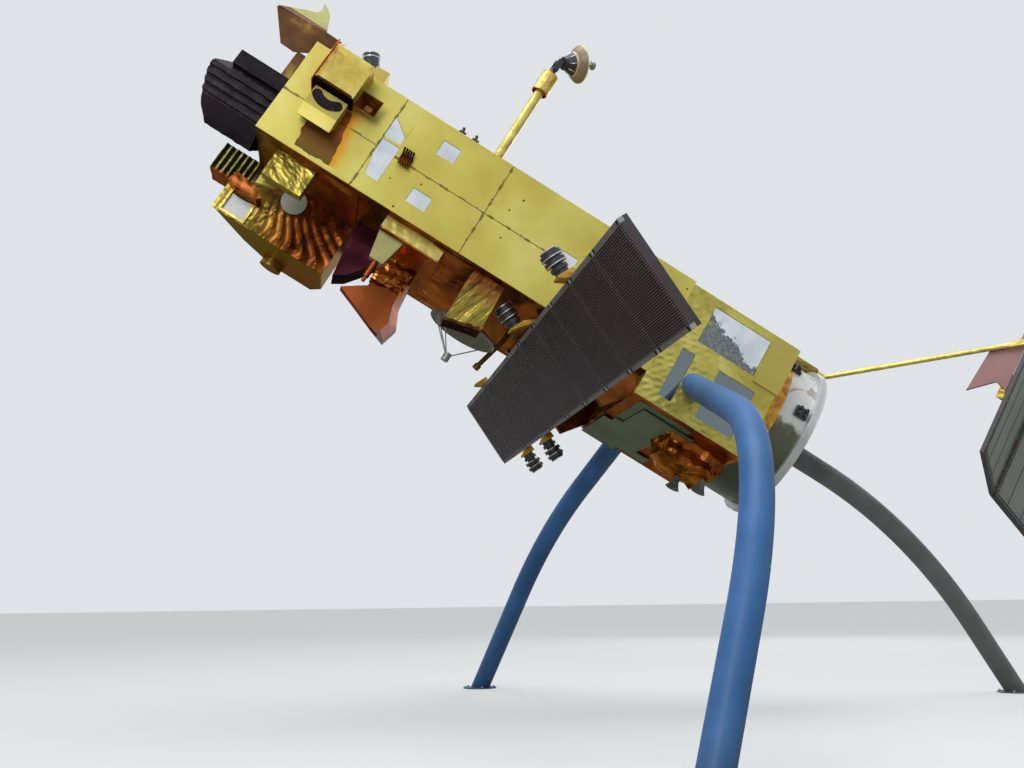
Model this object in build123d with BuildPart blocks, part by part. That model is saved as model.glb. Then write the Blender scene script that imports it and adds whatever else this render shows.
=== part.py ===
"""Earth-observation satellite, full size, carried on three curved pipe legs.

All sizes are in millimetres, +Z is up and the floor is Z = 0. The hull is pitched nose-up, so
most pieces are drawn in the hull's own frame: u runs aft along the hull, y across it (+y is the
side away from the wing boom's tip) and q from the earth side to the sky side. Its zero is the
centre of the radar antenna's face.
"""
import os
from math import cos, radians, sin

from build123d import *

os.makedirs("parts", exist_ok=True)

# Driving dimensions

# The radar antenna's centre over the middle of the satellite's outline on the floor
datum_x = -3272.0
datum_y = 5.0
radar_centre_height = 4660.0

hull_pitch = 31.0  # nose-up angle of the hull
hull_half_width = 1400.0

payload_nose_u = -4960.0  # payload module, from its nose to the service module
payload_tail_u = 1000.0
payload_earth_q = 440.0
payload_sky_q = 1900.0
skin = 22.0  # thickness of a foil-covered side panel
panel_gap = 14.0
bay_seams_u = (-3550.0, -1900.0, -250.0)
mid_seam_q = 1100.0

service_nose_u = payload_tail_u
service_tail_u = 2680.0
service_earth_q = 100.0
service_sky_q = 1860.0

ring_centre_q = 1070.0
ring_front_u = 3330.0
ring_back_u = 3440.0
barrel_radius = 1085.0
barrel_wall = 75.0
ring_lip = 85.0
ring_bore_radius = barrel_radius - barrel_wall
ring_radius = barrel_radius + ring_lip

radar_length = 10000.0
radar_width = 1300.0
radar_tilt = 25.6  # radar face turned forward of the hull's earth side
radar_plank = 60.0
radar_bays = 10
rib_rows = 24
rib_width = 18.0
rib_height = 16.0
edge_strip = 52.0
notch_pair_pitch = 70.0

pipe_radius = 161.95  # 323.9 mm pipe
foot_plate_radius = 310.0
foot_plate_thickness = 20.0
foot_bolt_circle = 540.0  # diameter, clear of the leaning pipe's oval end
foot_bolt_hole_radius = 11.0
foot_bolt_holes = 8

mast_u = -2200.0
mast_y = -800.0
mast_radius = 66.0
collar_radius = 118.0
collar_bottom_q = 3360.0
collar_top_q = 3690.0
running_gap = 0.05
elbow_q = 3930.0
dish_azimuth = 20.0  # aim round the mast, from aft towards +y
dish_elevation = 39.0
dish_radius = 270.0

drive_lift = 105.0  # solar wing drive, on the hull's centreline, its axis this far over the ring
drive_q = ring_centre_q + ring_radius + drive_lift
drive_y = 0.0
boom_root_u = 3560.0
boom_tip = (5540.0, -1500.0, 3820.0)
boom_radius = 36.0

panel_long = 3640.0
panel_low_q = 2000.0
panel_thickness = 56.0
wing_corners = ((5560.0, -1480.0), (6510.0, -440.0), (7741.0, 247.0), (8691.0, 1287.0), (9922.0, 1974.0))

# Frames

pitch_cos = cos(radians(hull_pitch))
pitch_sin = sin(radians(hull_pitch))
hull = Plane(
    origin=(datum_x, datum_y, radar_centre_height),
    x_dir=(pitch_cos, 0, -pitch_sin),
    z_dir=(pitch_sin, 0, pitch_cos),
)
radar_cos = cos(radians(hull_pitch + radar_tilt))
radar_sin = sin(radians(hull_pitch + radar_tilt))
radar = Plane(
    origin=(datum_x, datum_y, radar_centre_height),
    x_dir=(radar_cos, 0, -radar_sin),
    z_dir=(radar_sin, 0, radar_cos),
)


def at(u, y, q):
    """A hull point in the satellite's frame."""
    return hull.from_local_coords(Vector(u, y, q))


def along(u, y, q):
    """A hull direction in the satellite's frame."""
    return at(u, y, q) - at(0, 0, 0)


def deck(q):
    """The plane of a deck: sketched in u and y, facing the sky."""
    return hull.offset(q)


def side(y):
    """A plane parallel to the hull's near side: sketched in u and q, facing -y."""
    return Plane(origin=at(0, y, 0), x_dir=hull.x_dir, z_dir=-hull.y_dir)


def station(u):
    """A cross-section of the hull: sketched in y and q, facing aft."""
    return Plane(origin=at(u, 0, 0), x_dir=hull.y_dir, z_dir=hull.x_dir)


def block(low, high):
    """Add a box between two hull corners, each (u, y, q)."""
    with BuildSketch(deck(low[2])) as face:
        with Locations(((low[0] + high[0]) / 2, (low[1] + high[1]) / 2)):
            Rectangle(high[0] - low[0], high[1] - low[1])
    extrude(face.sketch, amount=high[2] - low[2])


def plate(plane, corners, thickness):
    """Add a flat plate with straight edges on one plane."""
    with BuildSketch(plane) as face:
        with BuildLine() as edge:
            Polyline(*corners, close=True)
        make_face()
    extrude(face.sketch, amount=thickness)


def rod(start, end, radius):
    """Add a round bar between two points of the satellite's frame."""
    axis = end - start
    with BuildSketch(Plane(origin=start, z_dir=axis)) as end_face:
        Circle(radius)
    extrude(end_face.sketch, amount=axis.length)


def finish(part, name):
    part.label = name
    export_step(part, f"parts/{name}.step")


def ring_of(plane, centre, outer, inner, thickness):
    """Add a flat ring, or a disc where the inner radius is 0."""
    with BuildSketch(plane) as face:
        with Locations(centre):
            Circle(outer)
            if inner:
                Circle(inner, mode=Mode.SUBTRACT)
    extrude(face.sketch, amount=thickness)


# Legs: each is one pipe, bent between two straights, standing on a round bolted foot plate

near_wall = side(-hull_half_width)
far_wall = Plane(origin=at(0, hull_half_width, 0), x_dir=hull.x_dir, z_dir=hull.y_dir)
tail_wall = station(service_tail_u)
# name, wall it leaves, place in u, y and q, knee and foot from the datum, bend radius
leg_table = (
    ("leg_front", near_wall, (1640.0, -1400.0, 610.0), (950.0, -5450.0, 3050.0), (-80.0, -6000.0, 0.0), 3000.0),
    ("leg_right", tail_wall, (2680.0, 0.0, 1070.0), (6250.0, 1170.0, 2650.0), (8430.0, 1980.0, 0.0), 9000.0),
    ("leg_back", far_wall, (1640.0, 1400.0, 500.0), (860.0, 3800.0, 2750.0), (20.0, 5990.0, 0.0), 8000.0),
)
overrun = 400.0  # each pipe is drawn past its wall and past the floor, then cut off flush
for leg_name, wall, top, knee, foot, bend in leg_table:
    top_point = at(*top)
    knee_point = Vector(datum_x + knee[0], datum_y + knee[1], knee[2])
    foot_point = Vector(datum_x + foot[0], datum_y + foot[1], foot[2])
    upper_run = (knee_point - top_point).normalized()
    lower_run = (foot_point - knee_point).normalized()
    start = top_point - upper_run * overrun
    end = foot_point + lower_run * overrun
    shorter = min((knee_point - start).length, (end - knee_point).length) * 0.97
    half_turn = radians(upper_run.get_angle(lower_run)) / 2
    radius = min(bend, shorter * cos(half_turn) / sin(half_turn))
    with BuildPart() as leg:
        with BuildLine() as route:
            FilletPolyline(start, knee_point, end, radius=radius)
        with BuildSketch(Plane(origin=start, z_dir=upper_run)) as pipe:
            Circle(pipe_radius)
        sweep()
        split(bisect_by=Plane.XY, keep=Keep.TOP)
        split(bisect_by=wall, keep=Keep.TOP)
        with BuildSketch() as foot_plate:
            with Locations((foot_point.X, foot_point.Y)):
                Circle(foot_plate_radius)
                with PolarLocations(foot_bolt_circle / 2, foot_bolt_holes):
                    Circle(foot_bolt_hole_radius, mode=Mode.SUBTRACT)
        extrude(amount=foot_plate_thickness)
    finish(leg.part, leg_name)

# Hull modules

core_half_width = hull_half_width - skin
with BuildPart() as payload_box:
    block(
        (payload_nose_u, -core_half_width, payload_earth_q),
        (payload_tail_u, core_half_width, payload_sky_q),
    )
finish(payload_box.part, "payload_box")

with BuildPart() as service_box:
    block(
        (service_nose_u, -core_half_width, service_earth_q),
        (service_tail_u, core_half_width, service_sky_q),
    )
finish(service_box.part, "service_box")

# Foil-covered side panels, parted at the bay seams and the lengthwise seam

# first u, last u, low q, high q of each mirror set into the near panels
mirror_table = (
    (-3550.0, -3300.0, 1280.0, 1600.0),
    (-3540.0, -3280.0, 680.0, 1240.0),
    (-2860.0, -2590.0, 1450.0, 1680.0),
    (-2850.0, -2560.0, 660.0, 880.0),
    (-850.0, -520.0, 1020.0, 1250.0),
)
seam_depth = 8.0


def windows(table, mode):
    """Add or cut the rectangles of a window table in a side sketch."""
    for u0, u1, q0, q1 in table:
        with Locations(((u0 + u1) / 2, (q0 + q1) / 2)):
            Rectangle(u1 - u0, q1 - q0, mode=mode)


for panel_name, inner_y, out, table in (
    ("side_panels_near", -core_half_width, 1, mirror_table),
    ("side_panels_far", core_half_width, -1, ()),
):
    with BuildPart() as panels:
        with BuildSketch(side(inner_y)) as sheet:
            with Locations(((payload_nose_u + payload_tail_u) / 2, (payload_earth_q + payload_sky_q) / 2)):
                Rectangle(payload_tail_u - payload_nose_u, payload_sky_q - payload_earth_q)
            windows(table, Mode.SUBTRACT)
        extrude(amount=skin * out)
        with BuildSketch(side(inner_y - out * skin)) as seams:
            for seam_u in bay_seams_u:
                with Locations((seam_u, (payload_earth_q + payload_sky_q) / 2)):
                    Rectangle(panel_gap, payload_sky_q - payload_earth_q)
            with Locations(((payload_nose_u + payload_tail_u) / 2, mid_seam_q)):
                Rectangle(payload_tail_u - payload_nose_u, panel_gap)
        extrude(amount=-seam_depth * out, mode=Mode.SUBTRACT)
    finish(panels.part, panel_name)

mirror_gap = 4.0
mirror_depth = 12.0


def panes(plane, table):
    """Add one mirror in each window of a table, a little smaller than its window."""
    for u0, u1, q0, q1 in table:
        with BuildSketch(plane) as pane:
            with Locations(((u0 + u1) / 2, (q0 + q1) / 2)):
                Rectangle(u1 - u0 - 2 * mirror_gap, q1 - q0 - 2 * mirror_gap)
        extrude(pane.sketch, amount=mirror_depth)


with BuildPart() as side_mirrors:
    panes(side(-core_half_width), mirror_table)
finish(side_mirrors.part, "side_mirrors")

# Service module sides, mirrors and the raised corner panel

# first u, last u, low q, high q of the large mirror, the dark strip and the small mirror
service_mirror_table = (
    (1400.0, 2290.0, 1180.0, 1740.0),
    (1275.0, 1470.0, 250.0, 990.0),
    (1850.0, 2410.0, 250.0, 990.0),
)
for panel_name, inner_y, out, table in (
    ("service_side_near", -core_half_width, 1, service_mirror_table),
    ("service_side_far", core_half_width, -1, ()),
):
    with BuildPart() as service_side:
        with BuildSketch(side(inner_y)) as sheet:
            with Locations(((service_nose_u + service_tail_u) / 2, (service_earth_q + service_sky_q) / 2)):
                Rectangle(service_tail_u - service_nose_u, service_sky_q - service_earth_q)
            windows(table, Mode.SUBTRACT)
        extrude(amount=skin * out)
    finish(service_side.part, panel_name)

with BuildPart() as service_mirrors:
    panes(side(-core_half_width), service_mirror_table)
finish(service_mirrors.part, "service_mirrors")

raised_depth = 25.0
with BuildPart() as corner_panel:
    block(
        (2310.0, -hull_half_width - raised_depth, 1110.0),
        (2700.0, -hull_half_width, 1845.0),
    )
finish(corner_panel.part, "corner_panel")

# Earth face of the service module: bare green panels with stepped edges, left in the foil

green_depth = 8.0
green_outline = (
    (1150.0, -1250.0), (1950.0, -1250.0), (1950.0, -900.0), (1700.0, -900.0), (1700.0, -700.0),
    (1740.0, -700.0), (1740.0, -350.0), (1500.0, -350.0), (1500.0, 100.0), (1750.0, 100.0),
    (1750.0, 500.0), (1350.0, 500.0), (1350.0, 1000.0), (1150.0, 1000.0),
)
with BuildPart() as green_panels:
    plate(deck(service_earth_q), green_outline, -green_depth)
finish(green_panels.part, "green_panels")

# Tail barrel and launch ring

ring_centre = (0.0, ring_centre_q)
with BuildPart() as tail_barrel:
    barrel_length = ring_front_u - service_tail_u
    ring_of(station(service_tail_u), ring_centre, barrel_radius, ring_bore_radius, barrel_length)
finish(tail_barrel.part, "tail_barrel")

with BuildPart() as launch_ring:
    ring_of(station(ring_front_u), ring_centre, ring_radius, ring_bore_radius, ring_back_u - ring_front_u)
finish(launch_ring.part, "launch_ring")

# Small thruster groups on the barrel and the foil-wrapped cluster with two bells

thruster_block = 190.0
thruster_pad = 60.0  # height of a pad over the barrel's skin
pad_sink = 12.0  # each pad is drawn this far into the barrel, then cut to its curve
# angle round the barrel from +y towards the sky, and the place along u
thruster_table = ((132.0, 2950.0), (172.0, 3200.0))
nozzle_radius = 26.0
nozzle_length = 60.0
with BuildPart() as barrel_thrusters:
    for angle, place_u in thruster_table:
        out_y = cos(radians(angle))
        out_q = sin(radians(angle))
        reach = barrel_radius - pad_sink
        base = at(place_u, out_y * reach, ring_centre_q + out_q * reach)
        pad = Plane(origin=base, x_dir=hull.x_dir, z_dir=along(0, out_y, out_q))
        with BuildSketch(pad) as pad_face:
            Rectangle(thruster_block, thruster_block * 0.8)
        extrude(amount=thruster_pad)
        with BuildSketch(pad.offset(thruster_pad)) as nozzle_faces:
            with GridLocations(thruster_block * 0.5, thruster_block * 0.4, 2, 2):
                Circle(nozzle_radius)
        extrude(amount=nozzle_length)
    with BuildSketch(station(service_tail_u)) as barrel_cut:
        with Locations(ring_centre):
            Circle(barrel_radius)
    extrude(amount=ring_front_u - service_tail_u, mode=Mode.SUBTRACT)
finish(barrel_thrusters.part, "barrel_thrusters")

cluster_depth = 330.0
cluster_shoulder = 180.0
cluster_far_y = -50.0
cluster_width = 850.0
cluster_outline = (
    (1750.0, service_earth_q), (1850.0, service_earth_q - cluster_depth + 80.0),
    (2050.0, service_earth_q - cluster_depth), (2600.0, service_earth_q - cluster_depth),
    (2660.0, service_earth_q - cluster_shoulder), (2660.0, service_earth_q),
)
with BuildPart() as thruster_cluster:
    plate(side(cluster_far_y), cluster_outline, cluster_width)
finish(thruster_cluster.part, "thruster_cluster")

bell_mouth = 105.0
bell_throat = 42.0
bell_length = 190.0
bell_wall = 10.0
bell_table = ((2310.0, -260.0), (2520.0, -770.0))
bell_seat_q = service_earth_q - cluster_depth
with BuildPart() as thruster_bells:
    for bell_u, bell_y in bell_table:
        bell_seat = at(bell_u, bell_y, bell_seat_q)
        with BuildSketch(Plane(origin=bell_seat, x_dir=hull.x_dir, z_dir=hull.y_dir)) as shape:
            with BuildLine() as profile:
                Polyline((0, 0), (bell_throat, 0), (bell_throat, 20))
                SagittaArc((bell_throat, 20), (bell_mouth, bell_length), 14)
                Line((bell_mouth, bell_length), (bell_mouth - bell_wall, bell_length))
                SagittaArc((bell_mouth - bell_wall, bell_length), (bell_throat - bell_wall, 40), -14)
                Polyline((bell_throat - bell_wall, 40), (0, 40), (0, 0))
            make_face()
        revolve(shape.sketch, axis=Axis(bell_seat, along(0, 0, -1)))
finish(thruster_bells.part, "thruster_bells")

# Radar antenna: a ribbed face between two notched edge strips, on a flat back frame

bay = radar_length / radar_bays
with BuildPart() as radar_face:
    with BuildSketch(radar) as plank:
        Rectangle(radar_width, radar_length)
    extrude(amount=radar_plank)
    rib_field = radar_width - 2 * edge_strip
    with BuildSketch(radar) as ribs:
        with GridLocations(rib_field / rib_rows, bay, rib_rows, radar_bays):
            Rectangle(rib_width, bay - panel_gap)
    extrude(amount=-rib_height)
    with BuildSketch(radar) as notches:
        with GridLocations(radar_width - edge_strip, bay, 2, radar_bays - 1):
            with GridLocations(0, notch_pair_pitch, 1, 2):
                Rectangle(edge_strip * 0.7, 30)
    extrude(amount=10, mode=Mode.SUBTRACT)
finish(radar_face.part, "radar_face")

frame_depth = 55.0
frame_rail = 90.0
with BuildPart() as radar_frame:
    with BuildSketch(radar.offset(radar_plank)) as rails:
        Rectangle(radar_width, radar_length)
        with GridLocations(0, bay, 1, radar_bays):
            Rectangle(radar_width - 2 * frame_rail, bay - frame_rail, mode=Mode.SUBTRACT)
    extrude(amount=frame_depth)
finish(radar_frame.part, "radar_frame")

frame_back = radar_plank + frame_depth
wedge_width = 120.0
wedge_outline = (
    (-640.0, payload_earth_q), (payload_tail_u, payload_earth_q), (payload_tail_u, service_earth_q),
    (720.0, -260.0), (-640.0, 300.0),
)
# Two wedges carry the antenna under the hull, cut off flush with the back of its frame
with BuildPart() as radar_wedges:
    for wedge_y in (-1150.0, 1150.0):
        plate(side(wedge_y + wedge_width / 2), wedge_outline, wedge_width)
    with BuildSketch(radar.offset(frame_back)) as under:
        Rectangle(radar_width * 2, radar_length)
    extrude(amount=-frame_back * 5, mode=Mode.SUBTRACT)
finish(radar_wedges.part, "radar_wedges")

# Hold-down posts: ringed drums lying outwards on gold brackets beside the antenna's edges

post_seat = 95.0  # from the antenna's edge to the foot of a drum
bracket_half = 110.0
bracket_lip = 25.0
# a drum's discs: start along it, radius and length
drum_table = (
    (0.0, 90.0, 60.0), (50.0, 112.0, 50.0), (90.0, 76.0, 50.0), (130.0, 135.0, 60.0), (180.0, 104.0, 50.0),
    (220.0, 135.0, 60.0), (270.0, 108.0, 50.0),
)
# side of the antenna (-1 is the upper edge), place along it, depth behind its face, and whether it has a drum
post_table = (
    (-1, -2950.0, 10.0, True), (-1, -970.0, -200.0, True), (-1, 3130.0, 10.0, False),
    (1, 1650.0, 10.0, True), (1, 3120.0, 10.0, True),
)
with BuildPart() as post_brackets:
    for edge_side, post_y, depth, _ in post_table:
        root = edge_side * radar_width / 2
        seat = root + edge_side * post_seat
        arm_start = radar.from_local_coords(Vector(0, post_y + bracket_half, 0))
        plate(
            Plane(origin=arm_start, x_dir=radar.x_dir, z_dir=-radar.y_dir),
            (
                (root, 0), (root, frame_back), (seat, depth + bracket_half), (seat, depth - bracket_half),
                (seat - edge_side * bracket_lip, depth - bracket_half),
            ),
            2 * bracket_half,
        )
finish(post_brackets.part, "post_brackets")

with BuildPart() as hold_down_posts:
    for edge_side, post_y, depth, has_drum in post_table:
        if has_drum:
            foot = radar.from_local_coords(Vector(edge_side * (radar_width / 2 + post_seat), post_y, depth))
            drum = Plane(origin=foot, x_dir=radar.y_dir, z_dir=radar.x_dir * edge_side)
            for disc_start, disc_radius, disc_length in drum_table:
                ring_of(drum.offset(disc_start), (0, 0), disc_radius, 0, disc_length)
finish(hold_down_posts.part, "hold_down_posts")

# Nose: the ribbed black block on the payload module's end

nose_length = 1000.0
block_near_y = -1200.0
block_far_y = -300.0
block_section = (
    (block_near_y, 520.0), (block_near_y, 1000.0), (block_near_y + 120.0, 1160.0), (block_far_y, 1160.0),
    (block_far_y, 700.0), (block_far_y - 200.0, 500.0), (block_near_y + 260.0, 260.0),
)
cap_size = (640.0, 230.0)
cap_centre = (block_near_y + 320.0, 1205.0)
cap_length = 780.0
# what is cut away at the block's front, in the side view
nose_cut = (
    (-6200.0, 100.0), (-6200.0, 1300.0), (-5730.0, 1300.0), (-5730.0, 1180.0), (-5950.0, 1010.0),
    (-5960.0, 870.0), (-5790.0, 420.0), (-5640.0, 270.0), (-5300.0, 180.0), (-5300.0, 100.0),
)
rib_places_q = (560.0, 700.0, 840.0, 980.0)
rib_section = (90.0, 50.0)
with BuildPart() as ribbed_block:
    plate(station(payload_nose_u), block_section, -nose_length)
    with BuildSketch(station(payload_nose_u)) as cap_face:
        with Locations(cap_centre):
            Rectangle(*cap_size)
    extrude(amount=-cap_length)
    for rib_q in rib_places_q:
        with BuildSketch(station(payload_nose_u)) as rib:
            with Locations((block_near_y, rib_q)):
                Rectangle(*rib_section)
        extrude(rib.sketch, amount=-nose_length)
    with BuildSketch(side(-block_near_y)) as front_cut:
        with BuildLine() as edge:
            Polyline(*nose_cut, close=True)
        make_face()
    extrude(amount=-3 * block_near_y, mode=Mode.SUBTRACT)
finish(ribbed_block.part, "ribbed_block")

with BuildPart() as striped_box:
    block((payload_nose_u - 650.0, 200.0, 150.0), (payload_nose_u, 700.0, 590.0))
finish(striped_box.part, "striped_box")

# Winged shield over the nose: one bent sheet on a short arm

sheet = 25.0
shield_near_y = -1000.0
# from the payload's nose, along the hull and up from its centre line
shield_outline = tuple((payload_nose_u + u, q) for u, q in (
    (-830.0, 2210.0), (-100.0, 2270.0), (160.0, 2260.0), (30.0, 1960.0), (-290.0, 1770.0),
    (-500.0, 1780.0),
))
shield_fold = (payload_nose_u - 330.0, 2240.0)
shield_arm = (payload_nose_u - 240.0, payload_nose_u - 120.0)
# the wing in its own leaning plane: along the fold, and up from it
shield_wing = (
    (-480.0, -30.0), (250.0, 10.0), (230.0, 75.0), (112.0, 373.0), (20.0, 520.0), (-100.0, 602.0),
    (-40.0, 430.0), (-60.0, 320.0), (-164.0, 240.0),
)
with BuildPart() as nose_shield:
    plate(side(shield_near_y), shield_outline, sheet)
    fold_point = at(shield_fold[0], shield_near_y, shield_fold[1])
    plate(Plane(origin=fold_point, x_dir=hull.x_dir, z_dir=along(0, -0.866, 0.5)), shield_wing, sheet)
    arm_foot = cap_centre[1] + cap_size[1] / 2
    block((shield_arm[0], -1030.0, arm_foot), (shield_arm[1], -960.0, 1800.0))
finish(nose_shield.part, "nose_shield")

# Near-side instruments at the nose

with BuildPart() as instrument_box:
    block((-4630.0, -1750.0, 1310.0), (-4070.0, -hull_half_width, 1860.0))
finish(instrument_box.part, "instrument_box")

kidney_centre = (-4350.0, 1360.0)
kidney_radius = 235.0
kidney_half_width = 60.0
kidney_start = 228.0
kidney_end = 308.0


def kidney_point(offset_out, angle, past=0.0):
    """A point beside the kidney's arc, or past its end along the arc's direction."""
    reach = kidney_radius + offset_out
    x = kidney_centre[0] + reach * cos(radians(angle)) - past * sin(radians(angle))
    y = kidney_centre[1] + reach * sin(radians(angle)) + past * cos(radians(angle))
    return x, y


baffle_front_y = -1600.0
baffle_front_u = -4590.0
baffle_length = 480.0
well_depth = 40.0
# the wedge's section, in y and q
baffle_section = (
    (-hull_half_width, 1280.0), (baffle_front_y, 1280.0), (baffle_front_y, 1000.0), (-1560.0, 830.0),
    (-1540.0, 830.0), (-hull_half_width, 960.0),
)
with BuildPart() as kidney_baffle:
    plate(station(baffle_front_u), baffle_section, baffle_length)
    with BuildSketch(side(baffle_front_y)) as kidney:
        with BuildLine() as outline:
            middle = (kidney_start + kidney_end) / 2
            for offset_out in (-kidney_half_width, kidney_half_width):
                ThreePointArc(
                    kidney_point(offset_out, kidney_start),
                    kidney_point(offset_out, middle),
                    kidney_point(offset_out, kidney_end),
                )
            for end_angle, past in ((kidney_start, -kidney_half_width), (kidney_end, kidney_half_width)):
                ThreePointArc(
                    kidney_point(-kidney_half_width, end_angle),
                    kidney_point(0, end_angle, past),
                    kidney_point(kidney_half_width, end_angle),
                )
        make_face()
    extrude(amount=-well_depth, mode=Mode.SUBTRACT)
finish(kidney_baffle.part, "kidney_baffle")

horn_centre = (-3905.0, 1460.0)
horn_mouth_y = -1560.0
horn_mouth = (310.0, 260.0)
horn_throat = (120.0, 90.0)
horn_wall = 10.0
horn_back = 20.0


def horn_ends(mouth_plane, throat_plane, wall):
    """The horn's mouth and throat, each this wall smaller all round."""
    with BuildSketch(mouth_plane) as mouth:
        with Locations(horn_centre):
            Rectangle(horn_mouth[0] - 2 * wall, horn_mouth[1] - 2 * wall)
    with BuildSketch(throat_plane) as throat:
        with Locations(horn_centre):
            Rectangle(horn_throat[0] - 2 * wall, horn_throat[1] - 2 * wall)
    return mouth.sketch.face(), throat.sketch.face()


with BuildPart() as square_horn:
    loft(horn_ends(side(horn_mouth_y), side(-hull_half_width), 0))
    hollow_throat = side(-hull_half_width - horn_back)
    loft(horn_ends(side(horn_mouth_y), hollow_throat, horn_wall), mode=Mode.SUBTRACT)
finish(square_horn.part, "square_horn")

# Sky deck at the nose

# It stands upright in spite of the pitched deck, cut off flush with it
cylinder_radius = 122.0
cylinder_top = (-4430.0, -800.0, 2450.0)
cylinder_drop = 1000.0
with BuildPart() as sky_cylinder:
    with BuildSketch(Plane(origin=at(*cylinder_top), z_dir=(0, 0, -1))) as lid:
        Circle(cylinder_radius)
    extrude(amount=cylinder_drop)
    split(bisect_by=deck(payload_sky_q), keep=Keep.TOP)
finish(sky_cylinder.part, "sky_cylinder")

with BuildPart() as sky_box:
    block((-4150.0, -1350.0, payload_sky_q), (-3950.0, -1050.0, payload_sky_q + 190.0))
finish(sky_box.part, "sky_box")

# Earth-side instruments, nose to tail

with BuildPart() as sensor_box:
    block((-4625.0, -1110.0, 40.0), (-4050.0, -930.0, payload_earth_q))
finish(sensor_box.part, "sensor_box")

reflector_centre = (-4280.0, 250.0)
reflector_radius = 180.0
with BuildPart() as round_reflector:
    ring_of(side(-110.0), reflector_centre, reflector_radius, 0, 25.0)
    block(
        (reflector_centre[0] - 30.0, -130.0, reflector_centre[1] + 130.0),
        (reflector_centre[0] + 30.0, -90.0, payload_earth_q),
    )
finish(round_reflector.part, "round_reflector")

imager_floor_q = -400.0
imager_outline = (
    (-5130.0, 0.0), (-4720.0, 620.0), (-4250.0, 1050.0), (-3600.0, 1050.0), (-3420.0, 700.0), (-3420.0, 0.0),
)
# the hood steps back under the payload module's nose
imager_notch = ((-5200.0, 60.0), (payload_nose_u, 60.0), (payload_nose_u, 460.0), (-5200.0, 460.0))
window_centre = (-4905.0, -175.0)
window_side = 340.0
window_gap = 8.0
window_depth = 20.0
with BuildPart() as imager_hood:
    plate(deck(imager_floor_q), imager_outline, payload_earth_q - imager_floor_q)
    with BuildSketch(side(0.0)) as notch:
        with BuildLine() as cut_edge:
            Polyline(*imager_notch, close=True)
        make_face()
    extrude(amount=-hull_half_width, mode=Mode.SUBTRACT)
    with BuildSketch(side(0.0)) as window_cut:
        with Locations(window_centre):
            Rectangle(window_side, window_side)
    extrude(amount=-window_depth, mode=Mode.SUBTRACT)
finish(imager_hood.part, "imager_hood")

with BuildPart() as imager_window:
    with BuildSketch(side(window_depth)) as pane:
        with Locations(window_centre):
            Rectangle(window_side - window_gap, window_side - window_gap)
    extrude(amount=window_depth / 2)
finish(imager_window.part, "imager_window")

drum_centre = (-4230.0, 850.0)
drum_radius = 165.0
drum_length = 100.0
with BuildPart() as imager_drum:
    ring_of(deck(imager_floor_q), drum_centre, drum_radius, 0, -drum_length)
finish(imager_drum.part, "imager_drum")

hood_outline = (
    (-3350.0, payload_earth_q), (-3240.0, -435.0), (-3090.0, -340.0), (-2815.0, 60.0),
    (-2815.0, payload_earth_q),
)
hood_near_y = -400.0
hood_width = 420.0
with BuildPart() as dark_hood:
    plate(side(hood_near_y), hood_outline, -hood_width)
finish(dark_hood.part, "dark_hood")

long_box_q = 240.0
with BuildPart() as long_box:
    block((-2955.0, -1200.0, long_box_q), (-2080.0, -400.0, payload_earth_q))
finish(long_box.part, "long_box")

bracket_outline = ((-2950.0, long_box_q), (-2590.0, long_box_q), (-2670.0, -150.0), (-2870.0, -150.0))
with BuildPart() as tapered_bracket:
    plate(side(-1000.0), bracket_outline, 120.0)
finish(tapered_bracket.part, "tapered_bracket")

with BuildPart() as copper_nozzle:
    rod(at(-2770, -1060, -150), at(-2770, -1060, -400), 42.0)
    rod(at(-2770, -1060, -400), at(-2770, -1060, -470), 26.0)
finish(copper_nozzle.part, "copper_nozzle")

horn_outline = (
    (-3070.0, -480.0), (-2740.0, -250.0), (-2330.0, -60.0), (-2270.0, 40.0), (-2230.0, -340.0),
    (-2115.0, -585.0), (-2175.0, -830.0), (-2422.0, -750.0),
)
with BuildPart() as fishtail_horn:
    block((-2800.0, -340.0, -150.0), (-2320.0, 60.0, payload_earth_q))
    plate(side(-120.0), horn_outline, 200.0)
finish(fishtail_horn.part, "fishtail_horn")

flap_outline = (
    (-1620.0, payload_earth_q), (-1620.0, -370.0), (-1130.0, -250.0), (-1150.0, payload_earth_q),
)
with BuildPart() as foil_flap:
    plate(side(-850.0), flap_outline, 350.0)
finish(foil_flap.part, "foil_flap")

# Altimeter dish, facing the earth, with its feed on struts

alt_u = -1340.0
alt_y = 0.0
alt_rim_q = -20.0
alt_radius = 520.0
alt_depth = 150.0
alt_wall = 14.0
alt_neck_radius = 120.0
neck_sink = 6.0
alt_axis = Axis(at(alt_u, alt_y, 0), along(0, 0, -1))
alt_frame = Plane(origin=at(alt_u, alt_y, alt_rim_q), x_dir=hull.x_dir, z_dir=-hull.y_dir)
with BuildPart() as altimeter_dish:
    with BuildSketch(alt_frame) as bowl:
        with BuildLine() as profile:
            ThreePointArc((0, alt_depth), (alt_radius / 2, alt_depth * 0.75), (alt_radius, 0))
            Line((alt_radius, 0), (alt_radius, alt_wall))
            ThreePointArc(
                (alt_radius, alt_wall), (alt_radius / 2, alt_depth * 0.75 + alt_wall), (0, alt_depth + alt_wall)
            )
            Line((0, alt_depth + alt_wall), (0, alt_depth))
        make_face()
    revolve(axis=alt_axis)
    neck_q = alt_rim_q + alt_depth + alt_wall - neck_sink
    ring_of(deck(neck_q), (alt_u, alt_y), alt_neck_radius, 0, payload_earth_q - neck_q)
finish(altimeter_dish.part, "altimeter_dish")

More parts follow.
